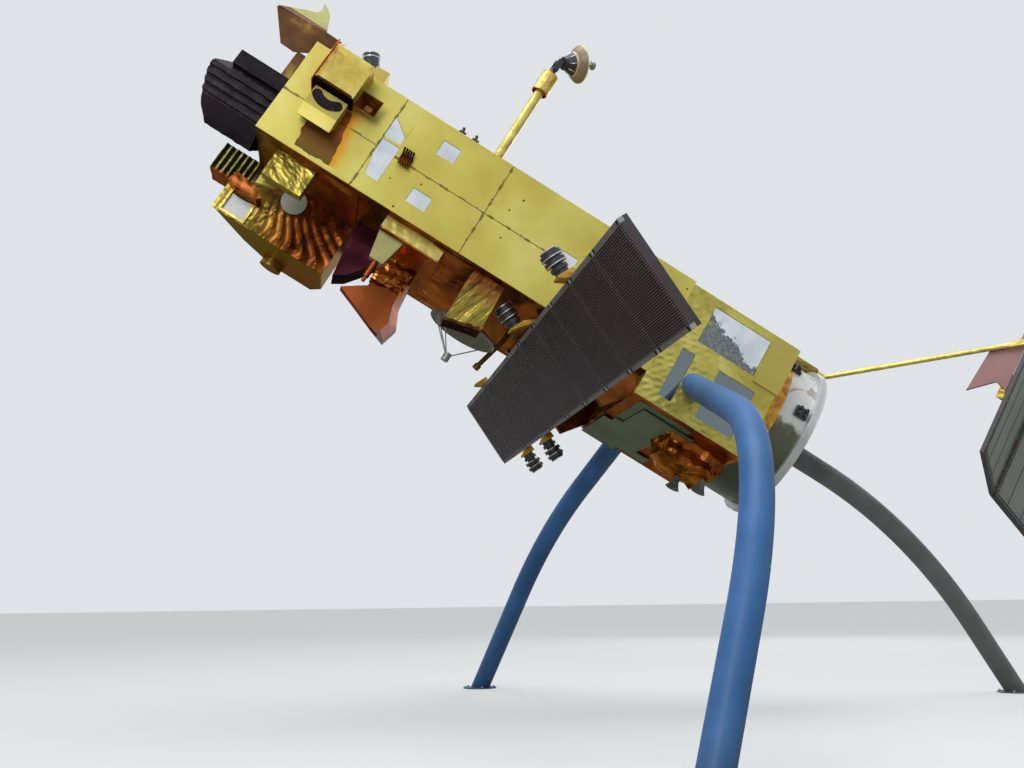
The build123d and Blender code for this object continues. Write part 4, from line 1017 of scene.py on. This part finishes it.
# name, span, fold length, fold height, seed
patch_table = (
    ("earth_patch_middle", (-2.25, -1.65, -1.25, 1.25), 0.60, 0.050, 81),
    ("earth_patch_aft", (-1.05, -0.70, -1.30, 0.20), 0.50, 0.030, 84),
    ("earth_patch_fore", (-4.00, -3.40, -1.30, -0.05), 0.70, 0.030, 87),
)
for name, span, fold, height, seed in patch_table:
    pierced_sheet(name, on_deck(PAYLOAD_EARTH), span, (), patch_lift(span, fold, height, seed), copper_foil,
                  "sky_foil")

# %% [markdown]
# ## Green primer under the service module
# The service module's earth face is a bare panel in green primer. Its edge is stepped where panels have
# been left off, so it is a flat sheet with a notch for each step.

# %% Stepped green sheet
GREEN_SPAN = (1.03, 2.08, -1.06, 1.44)
GREEN_STEPS = ((1.03, 1.28, -1.06, -0.10), (1.03, 1.16, -0.10, 0.12), (2.00, 2.08, -0.80, -0.45),
               (1.92, 2.08, -0.45, -0.10), (1.84, 2.08, -0.10, 0.88), (1.60, 2.08, 1.20, 1.44))
pierced_sheet("green_sheet", on_deck(SERVICE_EARTH), GREEN_SPAN, GREEN_STEPS, lambda a, b: -0.024 + 0.0 * a,
              green_primer, "green_primer", 0.20)

# %% [markdown]
# ## Tubes with foil wound round them
# The mast and the boom are thin tubes wound with gold foil tape. A tube is a circle carried along a line.
# Its radius swells and shrinks with the crease field and steps slightly where each turn of tape laps. The
# collar's wrap is a short tube with twelve soft flutes.

# %% Surfaces turned about an axis
def across_axes(axis):
    """An axis at unit length and two directions square to it."""
    axis = axis / np.linalg.norm(axis)
    helper = np.array((0.0, 0.0, 1.0)) if abs(axis[2]) < 0.9 else np.array((1.0, 0.0, 0.0))
    first = np.cross(helper, axis)
    first /= np.linalg.norm(first)
    return axis, first, np.cross(axis, first)


def turned_surface(start, axis, places, radii, sides):
    """Surface of revolution: rings of given radius at given places along an axis."""
    axis, first, second = across_axes(np.asarray(axis, float))
    angle = np.linspace(0.0, 2.0 * math.pi, sides + 1)
    circle = np.cos(angle)[:, None] * first + np.sin(angle)[:, None] * second
    places = np.asarray(places, float)
    radii = np.broadcast_to(np.asarray(radii, float), places.shape)
    return start + axis * places[None, :, None] + circle[:, None, :] * radii[None, :, None]


def wound_tube(start, end, radius, lap, seed, sides=24):
    """A foil-wound tube with closed ends, its laps a sawtooth along the way round and along."""
    way = end - start
    length = np.linalg.norm(way)
    places = np.linspace(0.0, length, int(length / 0.02) + 1)
    tube = turned_surface(start, way, places, 1.0, sides)
    centre = start + way / length * places[:, None]
    spoke = tube - centre[None, :, :]
    turn = np.linspace(0.0, 1.0, sides + 1)[:, None]
    lapped = 0.05 * ((places[None, :] / lap + turn) % 1.0)
    swell = 1.0 - lapped + 0.04 * creases(tube / radius, 1.6, seed)
    wall = centre[None, :, :] + spoke * (radius * swell)[..., None]
    ends = []
    for index in (0, -1):
        middle = np.broadcast_to(centre[index], wall[:, index].shape)
        ends.append(np.stack((wall[:, index], middle), 1))
    for side in (wall, *ends):
        side[-1] = side[0]
    return [wall, *ends]


trial_ring = turned_surface(np.zeros(3), (0, 0, 1), (0.0, 1.0), 0.5, 6)
print("a ring of six sides has", trial_ring.shape[0] - 1, "faces")

# %% Mast, boom and collar
MAST_U, MAST_Y, MAST_FOOT, MAST_TOP = -2.200, -0.800, 1.935, 3.352
BOOM_ROOT, BOOM_TIP = hull_point(3.600, 0.0, 2.345), hull_point(5.540, -1.500, 3.820)
COLLAR_RADIUS, COLLAR_FLUTES = 0.1205, 12
mast_foot, mast_top = (hull_point(MAST_U, MAST_Y, q) for q in (MAST_FOOT, MAST_TOP))
mast_tube = wound_tube(mast_foot, mast_top, 0.068, 0.16, 91)
piece("mast_winding", mast_tube, pale_foil, "mast_foil", smooth=True)
boom_way = (BOOM_TIP - BOOM_ROOT) / np.linalg.norm(BOOM_TIP - BOOM_ROOT)
boom_tube = wound_tube(BOOM_ROOT + boom_way * 0.06, BOOM_TIP - boom_way * 0.10, 0.038, 0.22, 92)
piece("boom_winding", boom_tube, pale_foil, "mast_foil", body="wing", smooth=True)

collar_places = np.linspace(3.375, 3.675, 13)
collar = turned_surface(hull_point(MAST_U, MAST_Y, 0.0), HULL[2], collar_places, COLLAR_RADIUS, 48)
collar_line = hull_point(MAST_U, MAST_Y, collar_places)[None, :, :]
flute = np.cos(np.linspace(0.0, 2 * math.pi, 49) * COLLAR_FLUTES)[:, None]
ripple = 1.0 + 0.025 * flute * np.sin(np.linspace(0.0, math.pi, 13))[None, :]
fluted = collar_line + (collar - collar_line) * ripple[..., None]
piece("collar_wrap", [fluted], pale_foil, "collar_foil", body="dish_turret", smooth=True)


# %% [markdown]
# ## Rings and bands
# Thin bright bands edge the hold-down drums, the sky cylinder and the launch ring. Each band is a small
# rectangle turned about an axis, so one function makes them all from a table of places.

# %% Bands
def band(start, axis, place, radius, width, rise=0.004):
    """A closed ring of rectangular section about an axis."""
    places = (place, place + width, place + width, place, place)
    radii = (radius - 0.004, radius - 0.004, radius + rise, radius + rise, radius - 0.004)
    return turned_surface(start, axis, places, radii, 40)


POST_SEAT = 0.745
POSTS = ((-1, -2.950, 0.010), (-1, -0.970, -0.200), (1, 1.650, 0.010), (1, 3.120, 0.010))
DRUM_BANDS = ((0.130, 0.135), (0.220, 0.135), (0.312, 0.108))
bands = []
for edge, along_place, deep in POSTS:
    foot = placed(RADAR, edge * POST_SEAT, along_place, deep)
    bands += [band(foot, RADAR[0] * edge, place, radius, 0.012) for place, radius in DRUM_BANDS]
piece("drum_bands", bands, silver, "post_black")

cylinder_top = hull_point(-4.430, -0.800, 2.450)
cylinder_bands = [band(cylinder_top, (0, 0, -1), place, 0.122, 0.014) for place in (0.002, 0.060)]
piece("cylinder_bands", cylinder_bands, silver, "post_black")

RING_U, RING_Q = 3.330, 1.070
ring_start = hull_point(RING_U, 0.0, RING_Q)
ring_lips = [band(ring_start, HULL[0], place, 1.170, 0.014, 0.006) for place in (0.004, 0.088)]
piece("ring_lips", ring_lips, silver, "ring_metal")


# %% [markdown]
# ## Bolts and nuts
# Fasteners are low six-sided prisms with a domed end. A ring of them is one mesh: the same small surface
# of revolution with six sides, placed by a table.

# %% Fasteners
def bolt(foot, axis, radius, height):
    places = (0.0, height * 0.6, height * 0.7, height, height)
    return turned_surface(foot, axis, places, (radius, radius, radius * 0.7, radius * 0.45, 0.0), 6)


def washer(foot, radius, height):
    return turned_surface(foot, (0, 0, 1), (0.0, height, height), (radius, radius, 0.0), 20)


FEET = ((-3.352, -5.995), (5.158, 1.985), (-3.252, 5.995))
FOOT_BOLT_CIRCLE, FOOT_PLATE, WASHER = 0.270, 0.020, 0.004
foot_nuts = []
for foot_x, foot_y in FEET:
    for angle in [math.radians(45.0 * turn) for turn in range(8)]:
        reach = FOOT_BOLT_CIRCLE * np.array((math.cos(angle), math.sin(angle), 0.0))
        place = reach + (foot_x, foot_y, FOOT_PLATE)
        foot_nuts.append(washer(place, 0.024, WASHER))
        foot_nuts.append(bolt(place + (0, 0, WASHER), (0, 0, 1), 0.018, 0.026))
piece("foot_nuts", foot_nuts, grey_metal, "pipe_grey")

RING_BOLTS, RING_BOLT_CIRCLE, RING_FACE = 36, 1.125, 3.440
ring_bolts = []
for turn in range(RING_BOLTS):
    angle = 2.0 * math.pi * (turn + 0.5) / RING_BOLTS
    across_ring, up_ring = RING_BOLT_CIRCLE * math.cos(angle), RING_BOLT_CIRCLE * math.sin(angle)
    place = hull_point(RING_FACE, across_ring, RING_Q + up_ring)
    ring_bolts.append(bolt(place, HULL[0], 0.014, 0.014))
piece("ring_bolts", ring_bolts, grey_metal, "ring_metal")

# %% [markdown]
# ## The folded solar wing
# Each panel is a stiff sandwich plate in a dark frame. The back shows pale grey-green between double
# purple-black lines, with bright bolts along the fold. The other face carries the cells. Everything is
# laid out in the panel's own plane: a along its width, b up its length, c out of its back.

# %% Panel planes and flat bars
WING_CORNERS = np.array(((5.560, -1.480), (6.510, -0.440), (7.741, 0.247), (8.691, 1.287), (9.922, 1.974)))
PANEL_LOW, PANEL_LONG, PANEL_HALF, RECESS, HINGE_GAP = 2.000, 3.640, 0.028, 0.018, 0.012


def on_panel(number):
    """The drawing plane of one panel, and its low and high ends of a."""
    first, last = WING_CORNERS[number], WING_CORNERS[number + 1]
    width = float(np.linalg.norm(last - first))
    run = (last - first) / width
    out = np.array((run[1], -run[0]))

    def plane(a, b, c):
        a, b, c = np.broadcast_arrays(a, b, c)
        u, y = (first[axis] + run[axis] * a + out[axis] * c for axis in (0, 1))
        return hull_point(u, y, PANEL_LOW + b)
    return plane, HINGE_GAP, width - HINGE_GAP


def slab_on(plane, low, high, base, rise):
    """A flat bar standing on a drawing plane: five faces of a box with closed corners."""
    (a0, b0), (a1, b1) = low, high
    a = np.array((a0, a0, a1, a1))[:, None]
    b = np.array((b0, b0, b1, b1))[None, :]
    outer = np.arange(4) % 3 == 0
    return plane(a, b, np.where(outer[:, None] | outer[None, :], base, base + rise))


def frame_of(a0, a1, b0, b1, bar):
    """Low and high corners of the four bars inside a rectangle."""
    return (((a0, b0), (a1, b0 + bar)), ((a0, b1 - bar), (a1, b1)),
            ((a0, b0), (a0 + bar, b1)), ((a1 - bar, b0), (a1, b1)))


print("panel widths", [round(on_panel(number)[2] + HINGE_GAP, 3) for number in range(4)])

# %% Frame lines and bolts
LIP = 0.0006
BOLT_INSET, FIRST_BOLT, LAST_BOLT, BOLT_PITCH = 0.050, 0.16, PANEL_LONG - 0.1, 0.277
lines, bolts = [], []
for number in range(4):
    plane, low_a, high_a = on_panel(number)
    for inset, bar in ((0.004, 0.046), (0.066, 0.026)):
        for low, high in frame_of(low_a + inset, high_a - inset, inset, PANEL_LONG - inset, bar):
            lines.append(slab_on(plane, low, high, PANEL_HALF - 0.001, 0.004))
    rim = (((low_a - LIP, 0.0), (low_a + LIP, PANEL_LONG)), ((high_a - LIP, 0.0), (high_a + LIP, PANEL_LONG)),
           ((low_a, -LIP), (high_a, LIP)), ((low_a, PANEL_LONG - LIP), (high_a, PANEL_LONG + LIP)))
    for low, high in rim:
        lines.append(slab_on(plane, low, high, -PANEL_HALF, 2 * PANEL_HALF + 0.001))
    for share in (1 / 3, 2 / 3):
        middle = low_a + (high_a - low_a) * share
        lines.append(slab_on(plane, (middle - 0.006, 0.09), (middle + 0.006, PANEL_LONG - 0.09),
                             PANEL_HALF - RECESS - 0.001, 0.005))
    out_way = plane(0.0, 0.0, 1.0) - plane(0.0, 0.0, 0.0)
    for a in (low_a + BOLT_INSET, high_a - BOLT_INSET):
        for b in np.arange(FIRST_BOLT, LAST_BOLT, BOLT_PITCH):
            bolts.append(bolt(plane(a, b, PANEL_HALF), out_way, 0.009, 0.008))
piece("wing_frame_lines", lines, array_edge, "array_back", body="wing")
piece("wing_bolts", bolts, silver, "hinge_steel", body="wing")

# %% [markdown]
# The cells are one sheet per panel. Faces between two neighbouring cells belong to the thin pale gaps, so
# they take a second finish: a face is a gap if its row or its column falls between cells. The glass is kept
# a little dull, since a panel seen edge-on would otherwise mirror the pale surroundings.

# %% Cell sheets
CELL_COLUMNS, CELL_ROWS, CELL_MARGIN, CELL_GAP = 18, 44, 0.03, 0.004


def cell_finish():
    made = Finish("solar_cell_glass", 0.30, 0.0, coat=0.08, specular=0.22)
    clouds = made.noise(made.turned(), 7.0, 3.0)
    return made.done(made.ramp(clouds, (0.3, (0.010, 0.012, 0.030)), (0.7, (0.022, 0.024, 0.060))))


def cell_edges(low, high, count):
    """Both edges of each cell in a row, between the two ends of a panel."""
    lines = np.linspace(low + CELL_MARGIN, high - CELL_MARGIN, count + 1)
    edges = np.stack((lines[:-1] + CELL_GAP, lines[1:] - CELL_GAP), 1).reshape(-1)
    return np.concatenate(([low], edges, [high]))


cell_glass = cell_finish()
for number in range(4):
    plane, low_a, high_a = on_panel(number)
    a, b = cell_edges(low_a, high_a, CELL_COLUMNS), cell_edges(0.0, PANEL_LONG, CELL_ROWS)
    a_grid, b_grid = np.meshgrid(a, b, indexing="ij")
    rise = np.full(a_grid.shape, -0.0005)
    rise[1:-1, 1:-1] = 0.0012
    sheet = plane(a_grid, b_grid, -PANEL_HALF - rise)
    sheet = piece(f"wing_cells_{number + 1}", [sheet], cell_glass, "array_back", body="wing")
    row, column = np.meshgrid(np.arange(a_grid.shape[0] - 1), np.arange(a_grid.shape[1] - 1), indexing="ij")
    second_finish(sheet, cell_gap, ((row % 2 == 0) | (column % 2 == 0)).reshape(-1))


# %% [markdown]
# ## Side fittings near the nose
# The kidney-shaped opening is closed by a black window that sags a little in the middle. Its outline is two
# arcs and two round ends, so it is written in the arc's own terms: an angle round the arc and an offset.

# %% Kidney opening
KIDNEY_CENTRE, KIDNEY_RADIUS, KIDNEY_HALF = np.array((-4.350, 1.360)), 0.235, 0.070
KIDNEY_START, KIDNEY_END = math.radians(228.0), math.radians(308.0)


def round_centre(angle, radius):
    return KIDNEY_CENTRE + radius * np.stack((np.cos(angle), np.sin(angle)), -1)


def kidney_outline(count=24):
    """Points round the kidney: its outer arc, a round end, its inner arc back and the other end."""
    arc = np.linspace(KIDNEY_START, KIDNEY_END, count)
    ends = []
    for angle, way in ((KIDNEY_START, -1.0), (KIDNEY_END, 1.0)):
        sweep = np.linspace(0.0, math.pi, count)[::int(way), None]
        spot = np.array((math.cos(angle), math.sin(angle)))
        past = np.array((-math.sin(angle), math.cos(angle))) * way
        bow = np.cos(sweep) * spot + np.sin(sweep) * past
        ends.append(round_centre(angle, KIDNEY_RADIUS) + KIDNEY_HALF * bow)
    outer, inner = (round_centre(arc, KIDNEY_RADIUS + half) for half in (KIDNEY_HALF, -KIDNEY_HALF))
    return np.concatenate((outer, ends[1], inner[::-1], ends[0]))


edge_line = kidney_outline()
from_centre = edge_line - KIDNEY_CENTRE
spine_angle = np.arctan2(from_centre[:, 1], from_centre[:, 0]) % (2 * math.pi)
spine_angle = np.clip(spine_angle, KIDNEY_START, KIDNEY_END)
spine = round_centre(spine_angle, KIDNEY_RADIUS)
share = np.linspace(0.0, 1.0, 5)[None, :, None]
window = edge_line[:, None, :] * (1 - share) + spine[:, None, :] * share
sag = 0.003 - 0.004 * np.sin(share[..., 0] * math.pi / 2)
piece("kidney_window", [on_side(-1.600)(window[..., 0], window[..., 1], sag)], block_black, "crinkled_foil")

# %% [markdown]
# ## Prongs, plates and small fixtures
# A few small parts break up the long side: a red-brown fixture with prongs, two dark stubs on the top
# edge, a thin plate standing up beside the instrument box and a frame of gold tape round the imager's
# window. They are short rods and flat bars from one table each.

# %% Prongs, stubs and the upright plate
def rod(start, end, radius, sides=10):
    start, end = np.asarray(start, float), np.asarray(end, float)
    length = float(np.linalg.norm(end - start))
    return turned_surface(start, end - start, (0.0, 0.0, length, length), (0.0, radius, radius, 0.0), sides)


side_face, deck_face = on_side(-HULL_HALF), on_deck(PAYLOAD_SKY)
PRONG_U, PRONG_Q = -3.130, 1.140
prong_low, prong_high = (PRONG_U - 0.085, PRONG_Q - 0.060), (PRONG_U + 0.085, PRONG_Q + 0.050)
prongs = [slab_on(side_face, prong_low, prong_high, -0.004, 0.045)]
for a in PRONG_U - 0.068 + 0.034 * np.arange(5):
    up_root, up_tip = side_face(a, PRONG_Q + 0.02, 0.030), side_face(a - 0.02, PRONG_Q + 0.125, 0.075)
    down_root, down_tip = side_face(a, PRONG_Q - 0.03, 0.030), side_face(a + 0.015, PRONG_Q - 0.115, 0.065)
    prongs += [rod(up_root, up_tip, 0.014), rod(down_root, down_tip, 0.012)]
piece("side_prongs", prongs, burnt_foil, "side_foil")

stubs = []
for a in (-2.720, -2.520):
    stubs.append(slab_on(deck_face, (a - 0.050, -1.360), (a + 0.050, -1.290), -0.010, 0.060))
    stubs.append(rod(deck_face(a, -1.325, 0.04), deck_face(a - 0.02, -1.325, 0.115), 0.022))
piece("sky_edge_stubs", stubs, black_metal, "sky_foil")

box_plate = [slab_on(on_station(-4.642), (-1.770, 1.255), (-1.400, 1.925), -0.006, 0.012),
             rod(hull_point(-4.640, -1.60, 1.90), hull_point(-4.600, -1.56, 2.00), 0.006),
             rod(hull_point(-4.640, -1.52, 1.90), hull_point(-4.670, -1.50, 1.98), 0.006)]
piece("instrument_plate", box_plate, orange_foil, "crinkled_foil")

# %% [markdown]
# The imager looks out through a white pane. Tape frames it, and a dark crescent hangs over its upper edge:
# a sheet between a straight line and a flattened sine.

# %% Tape and crescent on the imager's window
TAPE = 0.035
a0, a1, b0, b1 = WINDOW
tape_bars = (((a0 - TAPE, b0 - TAPE), (a1 + TAPE, b0)), ((a0 - TAPE, b1), (a1 + TAPE, b1 + TAPE)),
             ((a0 - TAPE, b0), (a0, b1)), ((a1, b0), (a1 + TAPE, b1)))
tape_grids = [slab_on(on_side(-0.030), low, high, -0.028, 0.032) for low, high in tape_bars]
piece("window_tape", tape_grids, pale_foil, "hood_foil")

angle = np.linspace(0.15, math.pi - 0.55, 24)[:, None]
reach = np.linspace(0.0, 1.0, 4)[None, :]
crescent_a = a1 - 0.02 - 0.18 * (1 - np.cos(angle)) + 0 * reach
crescent_b = b1 - 0.012 - reach * 0.060 * np.sin(angle) ** 0.7
piece("window_crescent", [on_side(0.016)(crescent_a, crescent_b, 0.008)], black_metal, "window_white")

# %% [markdown]
# ## The mirrors' clipped corners
# The two mirrors nearest the nose aren't full rectangles: foil runs over a corner of each. A flap is a thin
# triangle with a slight crease, taped over the mirror.

# %% Foil over the mirror's corner
CLIPPED = (((-3.55, 1.606), (-3.292, 1.606), (-3.292, 1.40)),
           ((-3.546, 1.044), (-3.546, 0.674), (-3.466, 0.674)))


def triangle_sheet(corners, plane, lift, count=12):
    """A triangle as a grid that narrows to its third corner."""
    p, q, r = (np.array(corner) for corner in corners)
    s, t = np.meshgrid(np.linspace(0, 1, count), np.linspace(0, 1, count), indexing="ij")
    spot = (p * (1 - s)[..., None] + q * s[..., None]) * (1 - t)[..., None] + r * t[..., None]
    ripple = creases(flat(spot[..., 0], spot[..., 1]), 0.15, 95) * 0.002
    return plane(spot[..., 0], spot[..., 1], lift + ripple)


flaps = [triangle_sheet(corners, side_face, 0.004) for corners in CLIPPED]
piece("mirror_corner_foil", flaps, panel_foil, "side_foil")

# %% [markdown]
# ## The relay dish's small reflector
# A thin stem along the dish's axis carries a little domed reflector in front of the bowl. It is one profile,
# radius against place along the aim, turned about the axis. Eight bright bars stiffen the dark cone. The
# dish's finish changes along the same axis, so it is driven by the place measured along the aim.

# %% Small reflector and cone bars
AIM_TURN, AIM_RISE = math.radians(20.0), math.radians(39.0)
AIM = np.array((math.cos(AIM_TURN) * math.cos(AIM_RISE), math.sin(AIM_TURN) * math.cos(AIM_RISE),
                math.sin(AIM_RISE))) @ HULL
PIVOT = hull_point(MAST_U, MAST_Y, 3.930)
STEM_PLACES = (0.36, 0.36, 0.540, 0.550, 0.562, 0.590, 0.606, 0.612, 0.612)
STEM_RADII = (0.0, 0.009, 0.009, 0.050, 0.066, 0.068, 0.056, 0.030, 0.0)
stem = turned_surface(PIVOT, AIM, STEM_PLACES, STEM_RADII, 24)
piece("relay_stem", [stem], grey_metal, "dish_beige", body="dish_head", smooth=True)

_, first, second = across_axes(AIM)
bars = []
for turn in np.radians(np.arange(22.5, 360.0, 45.0)):
    spoke = math.cos(turn) * first + math.sin(turn) * second
    bars.append(rod(PIVOT + AIM * 0.122 + spoke * 0.104, PIVOT + AIM * 0.232 + spoke * 0.176, 0.006, 8))
piece("cone_bars", bars, silver, "dish_beige", body="dish_head", smooth=True)


# %% Relay dish finish
def relay_finish():
    """Dark cone, bright joint ring, beige bowl and a yellow-green rim, by place along the dish's axis."""
    made = Finish("relay_dish_paint", 0.42, 0.2, specular=0.3)
    measured = made.node("VectorMath", made.coords)
    measured.operation = "DOT_PRODUCT"
    measured.inputs[1].default_value = AIM
    place = Value(made.tree, measured.outputs["Value"]) - float(PIVOT @ AIM)
    worn = (made.noise(made.coords, 9.0) - 0.5) * 0.02
    base = made.ramp((place + worn) * 2.5, (0.535, (0.035, 0.034, 0.040)), (0.555, (0.50, 0.46, 0.30)),
                     (0.600, (0.50, 0.46, 0.30)), (0.615, (0.26, 0.19, 0.13)), (0.825, (0.22, 0.165, 0.115)),
                     (0.845, (0.46, 0.46, 0.13)))
    return made.done(base, made.noise(made.coords, 40.0, 3.0), 0.08)


relay_paint = relay_finish()
print("relay dish aims along", AIM.round(3))

# %% [markdown]
# ## Finishes for the rigid parts
# The CAD parts that still show take their finishes here. A few follow their place on the hull: the tail
# barrel is bare metal above and grey-green primer below, with a strip of orange foil next to the hull. The
# mirrors show tiles and tone, and dark leaves are reflected in the lower half of the largest. The imager's
# hood is olive at the nose end and copper-brown further aft. The winged shield is brown with a pale wing,
# and the cylinder on the sky deck is a polished tube.

# %% Barrel and mirrors
TILES = 12.0  # mirror tiles to a metre


def barrel_finish():
    made = Finish("barrel_metal_and_primer", 0.34, 0.35)
    hull = made.turned()
    u, _, q = made.split(hull)
    height = q + made.noise(hull, 5.0) * 0.35
    base = made.ramp(height.share(-0.3, 2.3), (0.30, (0.085, 0.105, 0.060)), (0.545, (0.12, 0.13, 0.085)),
                     (0.575, (0.60, 0.61, 0.58)), (0.95, (0.70, 0.71, 0.70)))
    stained = made.noise(hull, 2.6, 5.0, warp=0.6).above(0.60)
    base = made.mix(stained * 0.65, base, (0.27, 0.21, 0.15))
    folds = made.ramp(made.noise(hull, 9.0, 3.0), (0.35, (0.50, 0.16, 0.012)), (0.55, (0.80, 0.42, 0.04)),
                      (0.75, (0.88, 0.68, 0.16)))
    base = made.mix(u.below(2.93) * height.above(0.55), base, folds)
    return made.done(base, made.noise(hull, 30.0), 0.12)


def mirror_finish():
    """Second-surface mirror tiles: near-perfect reflection, thin joints, lower rows in shade."""
    made = Finish("mirror_tiles", 0.04, 0.95)
    hull = made.turned()
    u, _, q = made.split(hull)
    joints = (u * TILES).apply("FRACT").below(0.03).either((q * TILES).apply("FRACT").below(0.03))
    clouds = made.ramp(made.noise(hull, 2.2), (0.35, (0.62, 0.66, 0.70)), (0.65, (0.86, 0.89, 0.92)))
    aft = u.above(1.1)
    base = made.mix(q.below(1.0) * aft, clouds, (0.18, 0.22, 0.23))
    shade = u * 0.33 + q + made.noise(hull, 6.0, 6.0, rough=0.7) * 0.6
    leaves = shade.below(2.36) * q.above(1.0) * aft
    leaf_tone = made.ramp(made.noise(hull, 26.0, 3.0), (0.4, (0.030, 0.042, 0.032)),
                          (0.65, (0.15, 0.18, 0.165)))
    base = made.mix(leaves * 0.85, base, leaf_tone)
    return made.done(made.mix(joints * 0.15, base, (0.25, 0.27, 0.28)))


barrel_metal, mirror_tiles = barrel_finish(), mirror_finish()
print("mirror nodes", len(mirror_tiles.node_tree.nodes))


# %% Hood, shield and polished tube
def hood_finish():
    """Olive film nearest the viewer's side, copper-brown further in, and a pinkish panel at the aft end."""
    made = Finish("imager_hood_film", 0.30, 0.9, specular=0.25)
    made.shader.inputs["Specular Tint"].default_value = (0.55, 0.36, 0.12, 1.0)
    hull = made.turned()
    u, y, _ = made.split(hull)
    place = u * 0.45 + y + made.noise(hull, 2.0, 3.0) * 0.5
    base = made.ramp(place.share(-1.9, 0.1), (0.05, (0.36, 0.28, 0.050)), (0.36, (0.30, 0.22, 0.040)),
                     (0.50, (0.42, 0.17, 0.055)), (1.0, (0.34, 0.12, 0.045)))
    base = made.mix(u.above(-3.440), base, (0.40, 0.33, 0.35))
    return made.done(base, made.noise(hull, 6.0, 5.0, RIDGED, 0.5, 0.3), 0.18, 0.02)


def shield_finish():
    """The shield's front plate is dark brown, its folded wing pale gold with pinkish clouds."""
    made = Finish("nose_shield_foil", 0.50, 0.15, specular=0.1)
    hull = made.turned()
    _, y, q = made.split(hull)
    clouds = made.noise(hull, 2.4)
    front = made.ramp(clouds, (0.35, (0.060, 0.028, 0.012)), (0.60, (0.13, 0.060, 0.020)),
                      (0.80, (0.42, 0.30, 0.08)))
    wing = made.ramp(clouds, (0.35, (0.25, 0.24, 0.065)), (0.60, (0.31, 0.30, 0.10)),
                     (0.72, (0.28, 0.20, 0.18)))
    folded = y.above(-0.985) * q.above(2.2)
    return made.done(made.mix(folded, front, wing), made.noise(hull, 4.0, 5.0, RIDGED, 0.5, 0.3), 0.4, 0.02)


def polished_finish():
    """A polished tube: dark where it faces the viewer and pale towards its edges, a painted reflection of the
    pale surroundings.
    """
    made = Finish("polished_tube", 0.12, 0.9, specular=0.4)
    # painted reflection: the tone depends on the angle of view, pale at grazing angles
    facing = Value(made.tree, made.node("LayerWeight", Blend=0.4).outputs["Facing"])
    place = facing + made.noise(made.coords, 9.0, 2.0) * 0.12
    return made.done(made.ramp(place, (0.15, (0.07, 0.08, 0.085)), (0.48, (0.10, 0.11, 0.12)),
                               (0.66, (0.62, 0.65, 0.68))))


hood_film, shield_foil, polished_tube = hood_finish(), shield_finish(), polished_finish()
print("hood nodes", len(hood_film.node_tree.nodes))

# %% [markdown]
# Last, each CAD part is dressed by name. A table of finishes, each with the parts that wear it, is easier
# to check than a line for every part, and the print shows if a visible part was forgotten.

# %% Dress the CAD parts
dressing = (
    (blue_pipe, "leg_front leg_back"), (grey_pipe, "leg_right"),
    (panel_foil, "side_panels_near side_panels_far"),
    (mirror_tiles, "side_mirrors service_mirrors"), (calm_foil, "corner_panel sky_box kidney_baffle"),
    (green_primer, "green_panels"), (barrel_metal, "tail_barrel"), (ring_metal, "launch_ring"),
    (black_metal, "barrel_thrusters hold_down_posts elbow_fork"), (bell_paint, "thruster_bells"),
    (radar_back, "radar_frame"), (wedge_foil, "radar_wedges"), (bracket_foil, "post_brackets"),
    (polished_tube, "sky_cylinder"), (shield_foil, "nose_shield"), (horn_foil, "square_horn"),
    (pale_disc, "round_reflector"), (hood_film, "imager_hood"), (white_pane, "imager_window"),
    (bronze_foil, "imager_drum sensor_arm"), (olive_metal, "tapered_bracket"),
    (copper_metal, "copper_nozzle"),
    (dish_olive, "altimeter_dish"), (grey_metal, "altimeter_feed"), (pale_foil, "mast boom"),
    (orange_foil, "turning_collar"), (relay_paint, "relay_dish"), (crinkled_gold, "wing_drive yoke_brackets"),
    (silver, "wing_hinges"), (mauve_plate, "wing_yoke"),
    (array_back, "wing_panel_1 wing_panel_2 wing_panel_3 wing_panel_4"),
)
dressed = {name: material for material, names in dressing for name in names.split()}
for name, material in dressed.items():
    for holder in nodes[name].material_slots:
        holder.material = material
bare = [name for name, node in nodes.items() if name not in dressed and not node.hide_render]
print("dressed", len(dressed), "bare", bare)
